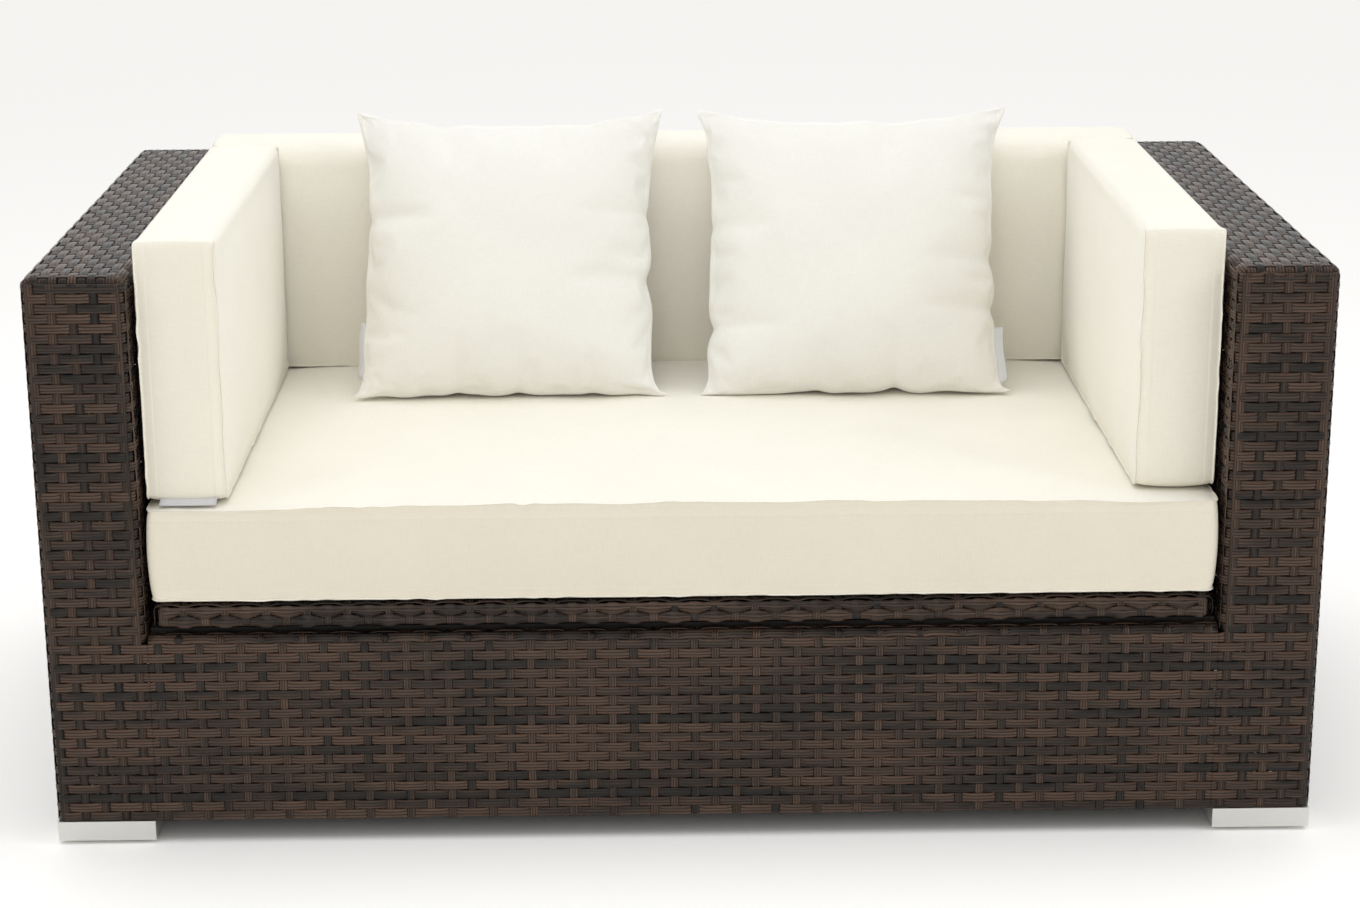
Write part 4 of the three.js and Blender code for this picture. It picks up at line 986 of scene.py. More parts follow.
def strand_group():
    """Marbled brown resin with two grooves along each strand, with painted shade in its grooves
    and at its edges.
    """
    name = "Marbled Strand"
    if name in bpy.data.node_groups:
        return bpy.data.node_groups[name]
    tree, given, out = group_tree(
        name, (("Brown", COLOUR, WHITE), ("Dark", COLOUR, WHITE)),
        (("Color", COLOUR), ("Height", VALUE), ("Roughness", VALUE)))
    place = node(tree, "ShaderNodeSeparateXYZ", {
        "Vector": node(tree, "ShaderNodeUVMap", uv_map="UVMap").outputs["UV"]}).outputs
    tone = node(tree, "ShaderNodeAttribute", attribute_name="tone").outputs["Fac"]
    shift = maths(tree, "MULTIPLY", tone, TONE_SHIFT)
    slow, fine = (node(tree, "ShaderNodeCombineXYZ", {
        "X": maths(tree, "MULTIPLY", place["X"], along), "Y": shift,
        "Z": maths(tree, "MULTIPLY", place["Y"], across)}).outputs[0]
        for along, across in (MARBLE_SCALE, STREAK_SCALE))
    marble = ranged(tree, noise(tree, slow, 1.0, detail=2.5), *MARBLE_NOISE)
    streak = noise(tree, fine, 1.0, detail=3.0, rough=0.6)
    own = ranged(tree, tone, 0.0, 1.0, *TONE_SHARE)
    share = maths(tree, "ADD", maths(tree, "MULTIPLY", marble, MARBLE_SHARE), own)
    share = maths(
        tree, "ADD", share, ranged(tree, streak, *MID_NOISE, *STREAK_SHARE), clamp=True)
    from_middle = maths(tree, "ABSOLUTE", maths(tree, "SUBTRACT", place["Y"], 0.5))
    beside = maths(tree, "ABSOLUTE", maths(tree, "SUBTRACT", from_middle, GROOVE_PLACE))
    groove = ranged(tree, beside, *GROOVE_WIDTH, 1.0, 0.0)
    edge = ranged(tree, from_middle, *EDGE_PLACE, 0.0, EDGE_SHADE)
    plain = mixed(tree, share, given["Dark"], given["Brown"])
    # Painted shade: the colour darkens in the grooves and at the strand's edges, where shade would
    # fall
    shade = maths(tree, "ADD", maths(tree, "MULTIPLY", groove, GROOVE_SHADE), edge, clamp=True)
    fill(tree, out["Color"], mixed(tree, shade, plain, STRAND_SHADE_COLOUR))
    fill(tree, out["Height"], maths(
        tree, "SUBTRACT", maths(tree, "MULTIPLY", streak, STREAK_RELIEF), groove))
    fill(tree, out["Roughness"], ranged(tree, streak, *MID_NOISE, *RESIN_ROUGHNESS))
    return tree


def toned(tree, colour, tone):
    """A colour made lighter or darker by a tone about 1."""
    grey = node(
        tree, "ShaderNodeCombineColor", {"Red": tone, "Green": tone, "Blue": tone}).outputs[0]
    return mixed(tree, 1.0, colour, grey, "MULTIPLY")


def stretched(tree, vector, stretch):
    """A place scaled along each way, which draws a noise out along the others."""
    return node(tree, "ShaderNodeVectorMath", {0: vector, 1: stretch},
                operation="MULTIPLY").outputs[0]


def cloth_group():
    """Plain woven outdoor cloth: threads, slubs, slight changes of tone, the seam's line and
    painted shade on a border.
    """
    name = "Plain Cloth"
    if name in bpy.data.node_groups:
        return bpy.data.node_groups[name]
    tree, given, out = group_tree(
        name, (("Color", COLOUR, WHITE), ("Thread", VALUE, THREAD)),
        (("Color", COLOUR), ("Height", VALUE), ("Roughness", VALUE)))
    uv = node(tree, "ShaderNodeUVMap", uv_map="UVMap").outputs["UV"]
    place = node(tree, "ShaderNodeSeparateXYZ", {"Vector": uv}).outputs
    turn = maths(tree, "DIVIDE", math.pi, given["Thread"])
    warp = maths(tree, "SINE", maths(tree, "MULTIPLY", place["X"], turn))
    weft = maths(tree, "SINE", maths(tree, "MULTIPLY", place["Y"], turn))
    threads = maths(tree, "MULTIPLY", warp, weft)
    slubs = maths(tree, "ADD", *(
        noise(tree, stretched(tree, uv, stretch), 1.0, detail=1.0) for stretch in SLUB_STRETCHES))
    cloudy = noise(tree, uv, CLOUD_SCALE, detail=3.0)
    seam = node(tree, "ShaderNodeAttribute", attribute_name="seam").outputs["Fac"]
    border = node(tree, "ShaderNodeAttribute", attribute_name="border").outputs["Fac"]
    line = ranged(tree, seam, *SEAM_WIDTH, 1.0, 0.0)
    tone = maths(tree, "ADD", ranged(tree, slubs, *SLUB_NOISE, *SLUB_TONES),
                 ranged(tree, cloudy, *MID_NOISE, *CLOUD_TONES))
    band = maths(tree, "MULTIPLY", ranged(tree, seam, *ALLOWANCE_EDGE, 1.0, 0.0),
                 ranged(tree, border, *ALLOWANCE_BORDER))
    tone = maths(tree, "SUBTRACT", tone, maths(tree, "MULTIPLY", line, SEAM_SHADE))
    tone = maths(tree, "ADD", tone, maths(tree, "MULTIPLY", band, ALLOWANCE_LIGHT))
    woven = toned(tree, given["Color"], tone)
    # The border is darkened by its share of painted shade
    fill(tree, out["Color"], mixed(
        tree, border, woven, mixed(tree, 1.0, woven, BORDER_SHADE_COLOUR, "MULTIPLY")))
    height = maths(tree, "ADD", maths(tree, "MULTIPLY", threads, THREAD_RELIEF),
                   maths(tree, "MULTIPLY", slubs, SLUB_RELIEF))
    fill(tree, out["Height"], maths(
        tree, "SUBTRACT", maths(tree, "MULTIPLY_ADD", band, ALLOWANCE_RELIEF, height),
        maths(tree, "MULTIPLY", line, SEAM_DENT)))
    fill(tree, out["Roughness"], ranged(tree, slubs, *SLUB_NOISE, *CLOTH_ROUGHNESS))
    return tree


def grain_group():
    """Grain of a rigid surface, stretched as wanted, with a change of tone and a height."""
    name = "Surface Grain"
    if name in bpy.data.node_groups:
        return bpy.data.node_groups[name]
    tree, given, out = group_tree(
        name, (("Color", COLOUR, WHITE), ("Stretch", VECTOR, (1.0, 1.0, 1.0)),
               ("Scale", VALUE, 400.0), ("Spread", VALUE, 0.1)),
        (("Color", COLOUR), ("Height", VALUE), ("Mask", VALUE)))
    place = node(tree, "ShaderNodeTexCoord").outputs["Object"]
    grain = noise(tree, stretched(tree, place, given["Stretch"]), given["Scale"],
                  detail=4.0, rough=0.6)
    broad = noise(tree, place, BROAD_SCALE, detail=3.0)
    tone = maths(tree, "MULTIPLY", maths(tree, "SUBTRACT", maths(
        tree, "ADD", grain, broad), 1.0), given["Spread"])
    tone = maths(tree, "ADD", tone, 1.0)
    fill(tree, out["Color"], toned(tree, given["Color"], tone))
    fill(tree, out["Height"], grain)
    fill(tree, out["Mask"], broad)
    return tree


def new_material(name):
    """A new node material, with its node tree and its Principled surface."""
    made = bpy.data.materials.new(name)
    made.use_nodes = True
    return made, made.node_tree, made.node_tree.nodes["Principled BSDF"]


def grouped_material(name, group, values, relief, surface_values):
    """A material whose colour, roughness and relief come from a shared group. A pair among the
    surface's values is the range of a value that changes with the group's mask."""
    if name in bpy.data.materials:
        return bpy.data.materials[name]
    made, tree, surface = new_material(name)
    detail = node(tree, "ShaderNodeGroup", node_tree=group)
    for label, value in values.items():
        detail.inputs[label].default_value = value
    fill(tree, surface.inputs["Base Color"], detail.outputs["Color"])
    if "Roughness" in detail.outputs:
        fill(tree, surface.inputs["Roughness"], detail.outputs["Roughness"])
    bump = node(tree, "ShaderNodeBump", {
        "Height": detail.outputs["Height"], "Distance": relief, "Strength": 1.0})
    fill(tree, surface.inputs["Normal"], bump.outputs["Normal"])
    for label, value in surface_values.items():
        if isinstance(value, tuple) and len(value) == 2:
            value = ranged(tree, detail.outputs["Mask"], *MID_NOISE, *value)
        fill(tree, surface.inputs[label], value)
    return made


def strand_material():
    """The brown resin of every strand."""
    settings = bpy.context.scene.sofa_weave
    return grouped_material(
        "Woven Resin", strand_group(),
        {"Brown": (*settings.brown, 1.0), "Dark": (*settings.dark, 1.0)},
        settings.groove_depth, RESIN_SURFACE)


def cloth_material(name, tint, thread=THREAD):
    """A cloth of this tint, its threads this wide in metres."""
    return grouped_material(
        name, cloth_group(), {"Color": (*tint, 1.0), "Thread": thread}, CLOTH_RELIEF,
        CLOTH_SURFACE)


def rigid_material(kind):
    """The finish of a rigid piece, by the record's name for it."""
    settings = bpy.context.scene.sofa_finish
    name, tint, stretch, scale, spread, relief, surface = FINISHES[kind]
    tint = getattr(settings, tint) if isinstance(tint, str) else tint
    return grouped_material(
        name, grain_group(),
        {"Color": (*tint, 1.0), "Stretch": stretch, "Scale": scale, "Spread": spread},
        relief, surface)


# Pieces

def place_piece(piece, body, material, nodes):
    """Gives a piece its material and its body, and hides the frame nodes it stands for."""
    piece.data.materials.clear()
    piece.data.materials.append(material)
    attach(piece, body)
    if nodes:
        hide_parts(*nodes)
    return piece


def weave(name, strands, body, node_name):
    """A woven piece of these strands, in place of a skin."""
    return place_piece(weave_object(name, strands), body, strand_material(), [node_name])


def grid_box(counts):
    """The points (0 to 1) of a grid over a closed box, its quads, and the side of each quad."""
    shape = tuple(count + 1 for count in counts)
    index = np.indices(shape).reshape(3, -1).T
    outer = np.any((index == 0) | (index == np.array(counts)), axis=1)
    numbers = np.full(len(index), -1)
    numbers[outer] = np.arange(outer.sum())
    numbers = numbers.reshape(shape)
    quads, sides = [], []
    for axis, end in itertools.product(range(3), (0, 1)):
        sheet = np.take(numbers, -end, axis=axis)
        if (axis == 1) != (end == 0):
            sheet = sheet.T
        made = np.stack([sheet[:-1, :-1], sheet[1:, :-1], sheet[1:, 1:], sheet[:-1, 1:]], -1)
        quads.append(made.reshape(-1, 4))
        sides.append(np.full(len(quads[-1]), axis))
    return index[outer] / np.array(counts), np.concatenate(quads), np.concatenate(sides)


def ripple(rng, places, shortest, longest, parts=7):
    """A random wavy line of about unit height, made of waves of many lengths."""
    total = np.zeros_like(places)
    for _ in range(parts):
        wave = rng.uniform(shortest, longest)
        total += np.sin(2 * math.pi * places / wave + rng.uniform(0, 2 * math.pi))
    return total / math.sqrt(parts / 2)


def gathers(rng, across, along, size, reach, shortest, longest):
    """Puckers that run in from a seam: strong beside it, and gone a little way from it."""
    strength = GATHER_LEVEL + GATHER_SWING * ripple(rng, along, *GATHER_WAVES)
    return size * np.clip(strength, 0, 2) * np.exp(-across / reach) * ripple(
        rng, along, shortest, longest)


def fine_ends(count, edge):
    """Grid places along a side, from 0 to 1, closer together near its two ends."""
    places = np.linspace(-1, 1, count + 1)
    return (places + edge * np.sin(math.pi * places) / math.pi + 1) / 2


def sewn_places(length, cell):
    """Grid places along a boxed side, from 0 to 1: close beside its two seams, then even."""
    inner = length - 2 * SEAM_LINES[-1]
    middle = np.linspace(SEAM_LINES[-1], length - SEAM_LINES[-1], max(2, round(inner / cell)) + 1)
    near = np.array(SEAM_LINES[:-1])
    return np.concatenate([near, middle, length - near[::-1]]) / length


def seam_fall(gap):
    """How far the cloth lies in from its full size near a seam: a ridge with a dip beside it."""
    return (SEAM_SLOPE * np.exp(-gap / SEAM_SLOPE_REACH) + SEAM_TUCK * np.exp(
        -((gap - SEAM_LINES[2]) / SEAM_TUCK_REACH) ** 2) - SEAM_RIDGE * np.exp(
        -(gap / SEAM_TUCK_REACH) ** 2))


def spread_grid(counts, spreads):
    """The grid of a closed box, its points from 0 to 1 moved to the places of each side."""
    places, quads, sides = grid_box(counts)
    for axis, spread in enumerate(spreads):
        places[:, axis] = spread[np.round(places[:, axis] * counts[axis]).astype(int)]
    return places, quads, sides


def rounded_corners(plan, half, radius):
    """A plan with rounded corners, and how far each point lies past the middles of
    the corners, along each way and straight."""
    past = np.clip(np.abs(plan) - (half - radius), 0, None)
    reach = np.maximum(np.linalg.norm(past, axis=1), TOUCH)
    scale = np.where(np.all(past > 0, axis=1), past.max(axis=1) / reach, 1.0)
    rounded = np.sign(plan) * (np.minimum(np.abs(plan), half - radius) + past * scale[:, None])
    return rounded, past, reach


def seam_relief(plan, up, half, on_border, seam_gap, seed):
    """Puckers and slow waves beside the seams along all four sides of both panels."""
    puckers, wobble = np.zeros(len(plan)), np.zeros(len(plan))
    for axis, end, facing in itertools.product((0, 1), (-1, 1), (-1, 1)):
        rng = np.random.default_rng([seed, axis, end + 1, facing + 1])
        along, gap = plan[:, 1 - axis], half[axis] - end * plan[:, axis]
        away = np.where(on_border, seam_gap, gap)
        share = np.where(on_border, np.exp(-gap / BORDER_SIDE_REACH), 1.0)
        share = np.where(np.sign(up) == facing, share, 0.0)
        puckers += share * gathers(rng, away, along, PUCKER_SIZE, PUCKER_REACH, *PUCKER_WAVES)
        wobble += share * SEAM_WOBBLE * np.exp(-away / WOBBLE_REACH) * ripple(
            rng, along, *WOBBLE_WAVES)
    return puckers, wobble


def panel_swell(plan, half, crown, wrap, puff):
    """How far the upper panel rises: the crown of a seat, or the puff of a face to lean on."""
    swell = np.zeros(len(plan))
    if crown:
        swell += crown * np.clip(1 - (plan[:, 0] / (half[0] * OPEN_SHARE)) ** CROWN_POWER, 0, 1)
    if puff:
        beyond = np.where(plan[:, 1] > 0, plan[:, 1] / (half[1] - wrap), -plan[:, 1] / half[1])
        level = 1 - np.abs(plan[:, 0] / half[0]) ** CROWN_POWER
        swell += puff * np.clip(level * (1 - np.clip(beyond, 0, 1) ** PUFF_POWER), 0, 1)
    return swell


def sewn_box(size, cell, seed, crown=0.0, wrap=0.0, puff=0.0):
    """A boxed cushion about its middle: two panels and a border, sewn at two seams.
    Length, width and thickness in millimetres, the thickness along Z. Wrap is the radius of
    a top that has no seam, and crown and puff are the swell of the upper panel."""
    rng = np.random.default_rng(seed)
    half = np.array(size) / 2
    spreads = [sewn_places(side, cell) for side in size]
    places, quads, sides = spread_grid([len(spread) - 1 for spread in spreads], spreads)
    flat = (places * 2 - 1) * half
    up = flat[:, 2]
    plan, past, reach = rounded_corners(flat[:, :2], half[:2], PLAN_ROUND)
    farthest = past.max(axis=1)
    edge_gap = np.where(farthest > 0, PLAN_ROUND - farthest,
                        np.min(half[:2] - np.abs(plan), axis=1))
    seam_gap = half[2] - np.abs(up)
    on_panel, on_border = seam_gap < TOUCH, edge_gap < TOUCH
    outward = np.where(
        np.all(past > 0, axis=1)[:, None], np.sign(plan) * past / reach[:, None],
        np.where(past > 0, np.sign(plan), 0.0))
    border_fall = seam_fall(seam_gap) - SEAM_SLOPE * np.exp(
        -seam_gap / SEAM_SLOPE_REACH) + BORDER_BULGE * (np.abs(up) / half[2]) ** 2
    puckers, wobble = seam_relief(plan, up, half, on_border, seam_gap, seed)
    folds = FOLD_SIZE * (
        ripple(rng, plan[:, 0] + FOLD_SLANTS[0] * plan[:, 1], *FOLD_WAVES)
        * ripple(rng, plan[:, 1] - FOLD_SLANTS[1] * plan[:, 0], *FOLD_WAVES)) / FOLD_LEVEL
    inside = 1 - np.exp(-edge_gap / FOLD_INSET)
    lift = np.where(on_panel, -seam_fall(edge_gap) + puckers + wobble + folds * inside, 0.0)
    lift += np.where(on_panel & (up > 0), panel_swell(plan, half, crown, wrap, puff), 0.0)
    push = np.where(on_border, -border_fall + BORDER_SHARE * (puckers - wobble), 0.0)
    points = np.column_stack([plan + outward * push[:, None], up + np.sign(up) * lift])
    seam = np.minimum(np.where(on_panel, edge_gap, FAR), np.where(on_border, seam_gap, FAR))
    if wrap:
        points, wrapped = wrapped_top(points, flat, half, wrap)
        seam = np.where(wrapped, FAR, seam)
        on_border &= (half[1] - flat[:, 1] > TOUCH) | (half[0] - np.abs(flat[:, 0]) < TOUCH)
    return points, quads, sides, seam, flat, on_border.astype(float)


def wrapped_top(points, flat, half, radius):
    """Rounds the upper long edges, where one panel wraps over the top without a seam."""
    down, in_from_face = half[1] - flat[:, 1], half[2] - np.abs(flat[:, 2])
    from_end = half[0] - np.abs(flat[:, 0])
    wrapped = (np.minimum(down, in_from_face) < TOUCH) & (down + in_from_face < radius) & (
        down < from_end)
    turn = math.pi / 4 * (1 - (down + in_from_face) / radius)
    turn = np.where(down < in_from_face, math.pi / 2 - turn, turn)
    fade = np.clip(from_end / radius, 0, 1)
    there = np.column_stack([
        points[:, 0], half[1] - radius + radius * np.sin(turn),
        np.sign(flat[:, 2]) * (half[2] - radius + radius * np.cos(turn))])
    blended = points + (there - points) * fade[:, None]
    return np.where(wrapped[:, None], blended, points), wrapped & (fade > FULL_FADE)


def cloth_object(name, points, quads, sides, seam, flat, turn, centre, border):
    """The mesh of a cushion, turned and moved to its place, with its map and seam distance.
    Border is above 0 on a boxed border, whose turned-in seam allowance shows through; its value is
    also the share of painted shade on the border."""
    mesh = bpy.data.meshes.new(name)
    there = (points @ np.array(turn, float).T + np.array(centre)) * MM
    mesh.from_pydata(there.tolist(), [], quads.tolist())
    layer = mesh.uv_layers.new(name="UVMap")
    around = flat * MM
    maps = np.where(
        (sides == 2)[:, None, None], around[quads][..., [0, 1]],
        np.where((sides == 1)[:, None, None], around[quads][..., [0, 2]],
                 around[quads][..., [1, 2]]))
    layer.data.foreach_set("uv", maps.reshape(-1).astype(np.float32))
    for label, values in (("seam", np.clip(seam, 0, FAR) * MM), ("border", border)):
        attribute = mesh.attributes.new(label, "FLOAT", "POINT")
        attribute.data.foreach_set("value", values.astype(np.float32))
    mesh.polygons.foreach_set("use_smooth", np.ones(len(quads), bool))
    return new_object(name, mesh)


def subdivided(piece):
    """One applied level of subdivision."""
    only_active(piece)
    modifier = piece.modifiers.new("Smooth", "SUBSURF")
    modifier.levels = modifier.render_levels = 1
    bpy.ops.object.modifier_apply(modifier=modifier.name)


def only_active(piece):
    """Makes a piece the active object and the only selected one."""
    for other in bpy.context.selected_objects:
        other.select_set(False)
    bpy.context.view_layer.objects.active = piece
    piece.select_set(True)


def box_cushion(node_name, turn, seed, crown=0.0, **shape):
    """A boxed cushion in the place of its frame node."""
    settings = bpy.context.scene.sofa_cushions
    low, high = corners(node_name)
    high = high - np.array([0, 0, crown])
    size = np.abs(np.array(turn, float)).T @ (high - low)
    points, quads, sides, seam, flat, border = sewn_box(
        size, settings.cell / MM, seed, crown=crown, **shape)
    # The border takes painted shade, more on a level cushion than on an upright one
    piece = cloth_object(
        node_name + "_cover", points, quads, sides, seam, flat, turn, (low + high) / 2,
        border * (LEVEL_BORDER_SHADE if turn is LEVEL else UPRIGHT_BORDER_SHADE))
    subdivided(piece)
    place_piece(piece, node_name,
                cloth_material("Cushion Cloth", settings.cover), [node_name])
    return piece


def pillow_shape(flat, seed, pinches):
    """A stuffed square cover before it settles: sides drawn in, thick middle, thin corners."""
    half = PILLOW_COVER / 2
    share = np.clip(flat[:, :2] / half, -1, 1)
    plan = rounded_corners(flat[:, :2], half, PILLOW_ROUND)[0]
    sunk = np.zeros(len(flat))
    for axis, end, low, high, low_power, high_power in PILLOW_SIDES:
        along, across = share[:, 1 - axis], flat[:, 1 - axis]
        power = np.where(along < 0, low_power, high_power)
        pull = (low + (high - low) * (along + 1) / 2) * (1 - np.abs(along) ** power)
        plan[:, axis] -= end * pull * np.clip(end * share[:, axis], 0, 1) ** 2
        away = half - end * flat[:, axis]
        rng = np.random.default_rng([seed, axis, end + 1])
        sunk -= gathers(rng, away, across, *EDGE_GATHER)
        plan[:, axis] -= end * np.exp(-away / EDGE_WAVE_REACH) * ripple(
            rng, across, *EDGE_WAVES)
        for pinch_axis, pinch_end, place, depth in pinches:
            if (pinch_axis, pinch_end) == (axis, end):
                gap = np.abs(across - place * half)
                plan[:, axis] -= end * depth * np.exp(-gap / PINCH_WIDTH - away / PINCH_DEPTH)
                sunk += PINCH_SINK * depth * np.exp(-gap / PINCH_WIDTH - away / PINCH_REACH)
    settled = share[:, 1] + PILLOW_SAG * (1 - share[:, 1] ** 2)
    swell = (1 - np.abs(share[:, 0]) ** PILLOW_POWER) * (1 - np.abs(settled) ** PILLOW_POWER)
    rise = PILLOW_SIZE[2] / 2 * np.sqrt(np.clip(swell, 0, 1))
    sunk *= np.clip(rise / THIN_EDGE, 0, 1)
    up = np.sign(flat[:, 2]) * (rise + PILLOW_EDGE - sunk)
    up += SETTLE_RISE * np.clip(-share[:, 1] - SETTLE_START, 0, 1) ** SETTLE_POWER / (
        1 - SETTLE_START) ** SETTLE_POWER
    up += EAR_TWIST * np.abs(share[:, 0] * share[:, 1]) ** EAR_POWER * ripple(
        np.random.default_rng([seed, EAR_DRAW]), flat[:, 0] + 2 * flat[:, 1], *EAR_WAVES)
    return np.column_stack([plan, up])


def points_of(piece):
    """A piece's points, in millimetres."""
    there = np.empty(len(piece.data.vertices) * 3)
    piece.data.vertices.foreach_get("co", there)
    return there.reshape(-1, 3) / MM


def leaned(there, middle):
    """A filled pillow's points brought to its size and set leaning, clear of the seat."""
    span = np.ptp(there, axis=0)
    there = (there - (there.max(0) + there.min(0)) / 2) * (np.array(PILLOW_SIZE) / span)
    cos, sin = math.cos(PILLOW_LEAN), math.sin(PILLOW_LEAN)
    turn = np.column_stack([(1.0, 0.0, 0.0), (0.0, sin, cos), (0.0, -cos, sin)])
    there = there @ turn.T + middle
    there[:, 2] = np.maximum(there[:, 2], corners("seat_cushion")[1][2] + SEAT_CLEARANCE)
    return there


def pillow(word, seed):
    """A scatter pillow: two panels sewn at one seam, filled by pressure and set leaning."""
    settings = bpy.context.scene.sofa_cushions
    node_name = word + "_pillow"
    low, high = corners(node_name)
    places, quads, sides = spread_grid(
        (PILLOW_CELLS, PILLOW_CELLS, 1), [fine_ends(PILLOW_CELLS, PILLOW_FINE_ENDS)] * 2)
    flat = (places - 0.5) * np.array([PILLOW_COVER, PILLOW_COVER, PILLOW_START])
    edge_gap = PILLOW_COVER / 2 - np.max(np.abs(flat[:, :2]), axis=1)
    piece = cloth_object(
        node_name + "_cover", pillow_shape(flat, seed, PILLOW_PINCHES[word]), quads, sides,
        edge_gap, flat, LEVEL, (0, 0, 0), np.zeros(len(flat)))
    hold = piece.vertex_groups.new(name="seam")
    hold.add(np.flatnonzero(edge_gap < TOUCH).tolist(), 1.0, "REPLACE")
    inflate(piece, settings.pressure, PILLOW_FRAMES)
    there = leaned(points_of(piece), (low + high) / 2)
    piece.data.vertices.foreach_set("co", (there * MM).ravel())
    piece.data.update()
    subdivided(piece)
    place_piece(piece, node_name,
                cloth_material("Pillow Cloth", settings.pillow), [node_name])
    return piece


def inflate(piece, pressure, frames):
    """Fills a cover with pressure, without weight, and keeps the shape it comes to."""
    only_active(piece)
    modifier = piece.modifiers.new("Fill", "CLOTH")
    cloth = modifier.settings
    for label, value in FILL_CLOTH.items():
        setattr(cloth, label, value)
    cloth.use_pressure = True
    cloth.uniform_pressure_force = pressure
    cloth.shrink_min = -PILLOW_SLACK
    cloth.vertex_group_mass = "seam"
    cloth.effector_weights.gravity = 0
    modifier.collision_settings.use_collision = False
    modifier.point_cache.frame_start = 1
    modifier.point_cache.frame_end = frames
    for step in range(1, frames + 1):
        bpy.context.scene.frame_set(step)
    bpy.ops.object.modifier_apply(modifier=modifier.name)
    bpy.context.scene.frame_set(1)


def seam_line(piece, side, low, high):
    """Places along a pillow's left or right seam between two heights."""
    there, gap = points_of(piece), np.empty(len(piece.data.vertices))
    piece.data.attributes["seam"].data.foreach_get("value", gap)
    middle = (there[:, 0].max() + there[:, 0].min()) / 2
    there = there[(gap < SEAM_CLOSE) & ((there[:, 0] - middle) * side > SEAM_SIDE)]
    return np.array([
        there[np.abs(there[:, 2] - height) < SEAM_BAND].mean(axis=0)
        for height in np.linspace(low, high, TAG_STEPS + 1)])


def tag(name, line, out, body):
    """A plain tag of folded tape that is sewn into a seam and sticks out along one way."""
    out = np.array(out, float) / np.linalg.norm(out)
    face = np.cross(line[-1] - line[0], out)
    face /= np.linalg.norm(face)
    sway = TAG_WAVE * np.sin(np.linspace(0, TAG_WAVE_TURN, len(line)))
    points = [
        base + out * reach + face * (aside + sway[step] * (reach / TAG_DEPTH) ** 2)
        for step, base in enumerate(line) for reach, aside in TAG_FOLD]
    around = len(TAG_FOLD)
    quads = [
        (row * around + part, row * around + part + 1, (row + 1) * around + part + 1,
         (row + 1) * around + part)
        for row in range(len(line) - 1) for part in range(around - 1)]
    mesh = bpy.data.meshes.new(name)
    mesh.from_pydata([tuple(point * MM) for point in points], [], quads)
    layer = mesh.uv_layers.new(name="UVMap")
    for loop in mesh.loops:
        row, part = divmod(loop.vertex_index, around)
        layer.data[loop.index].uv = (
            row * TAG_LENGTH / TAG_STEPS * MM, part * TAG_MAP_STEP)
    mesh.polygons.foreach_set("use_smooth", np.ones(len(quads), bool))
    piece = new_object(name, mesh)
    only_active(piece)
    modifier = piece.modifiers.new("Thickness", "SOLIDIFY")
    modifier.thickness, modifier.offset = TAG_THICKNESS, 0.0
    bpy.ops.object.modifier_apply(modifier=modifier.name)
    place_piece(piece, body, cloth_material("Tag Tape", TAG_TINT, TAG_THREAD), [])
    return piece


# Operators

class SOFA_OT_rows(bpy.types.Operator):
    """Run the level rows round both arms, the back and the front panel"""
    bl_idname = "sofa.rows"
    bl_label = "Level rows"

    def execute(self, context):
        shared = body_rows(context.scene.sofa_weave)
        for name, node_name in (
                ("left_arm_rows", "left_arm_skin"), ("right_arm_rows", "right_arm_skin"),
                ("back_rear_rows", "back_skin"), ("back_front_rows", "back_skin"),
                ("panel_rows", "front_panel_skin")):
            weave(name, shared[name], "frame", node_name)
        return {"FINISHED"}


class SOFA_OT_arm_posts(bpy.types.Operator):
    """Run the upright strands over both arms and the strands along their tops"""
    bl_idname = "sofa.arm_posts"
    bl_label = "Arm strands"

    def execute(self, context):
        for word, side in SIDES:
            weave(word + "_arm_uprights", arm_uprights(side, context.scene.sofa_weave), "frame",
                  word + "_arm_skin")
        return {"FINISHED"}


class SOFA_OT_back_posts(bpy.types.Operator):
    """Run the upright strands over the back and the rows along its top"""
    bl_idname = "sofa.back_posts"
    bl_label = "Back strands"

    def execute(self, context):
        weave("back_uprights", back_uprights(context.scene.sofa_weave), "frame", "back_skin")
        return {"FINISHED"}


class SOFA_OT_panel_posts(bpy.types.Operator):
    """Run the upright strands of the front panel and the rows over its top edge"""
    bl_idname = "sofa.panel_posts"
    bl_label = "Front panel strands"

    def execute(self, context):
        weave("front_panel_uprights", panel_uprights(context.scene.sofa_weave), "frame",
              "front_panel_skin")
        return {"FINISHED"}


class SOFA_OT_lid_weave(bpy.types.Operator):
    """Weave the seat lid, with its strands wrapped down over its edges"""
    bl_idname = "sofa.lid_weave"
    bl_label = "Lid strands"

    def execute(self, context):
        rows, posts = lid_strands(context.scene.sofa_weave)
        weave("lid_rows", rows, "lid", "lid_skin")
        weave("lid_uprights", posts, "lid", "lid_skin")
        return {"FINISHED"}


class SOFA_OT_seat_cushion(bpy.types.Operator):
    """Sew the boxed seat cushion"""
    bl_idname = "sofa.seat_cushion"
    bl_label = "Seat cushion"

    def execute(self, context):
        box_cushion("seat_cushion", LEVEL, SEAT_SEED,
                    crown=context.scene.sofa_cushions.crown / MM)
        return {"FINISHED"}


class SOFA_OT_back_cushion(bpy.types.Operator):
    """Sew the boxed back cushion with its soft top edge"""
    bl_idname = "sofa.back_cushion"
    bl_label = "Back cushion"

    def execute(self, context):
        box_cushion("back_cushion", UPRIGHT_BACK, BACK_CUSHION_SEED, wrap=BACK_WRAP,
                    puff=FACE_PUFF)
        return {"FINISHED"}


class SOFA_OT_side_cushions(bpy.types.Operator):
    """Sew the two boxed side cushions"""
    bl_idname = "sofa.side_cushions"
    bl_label = "Side cushions"

    def execute(self, context):
        for name, turn, seed in (("left_side_cushion", UPRIGHT_LEFT, LEFT_SEED),
                                 ("right_side_cushion", UPRIGHT_RIGHT, RIGHT_SEED)):
            box_cushion(name, turn, seed, wrap=SIDE_WRAP, puff=FACE_PUFF)
        return {"FINISHED"}


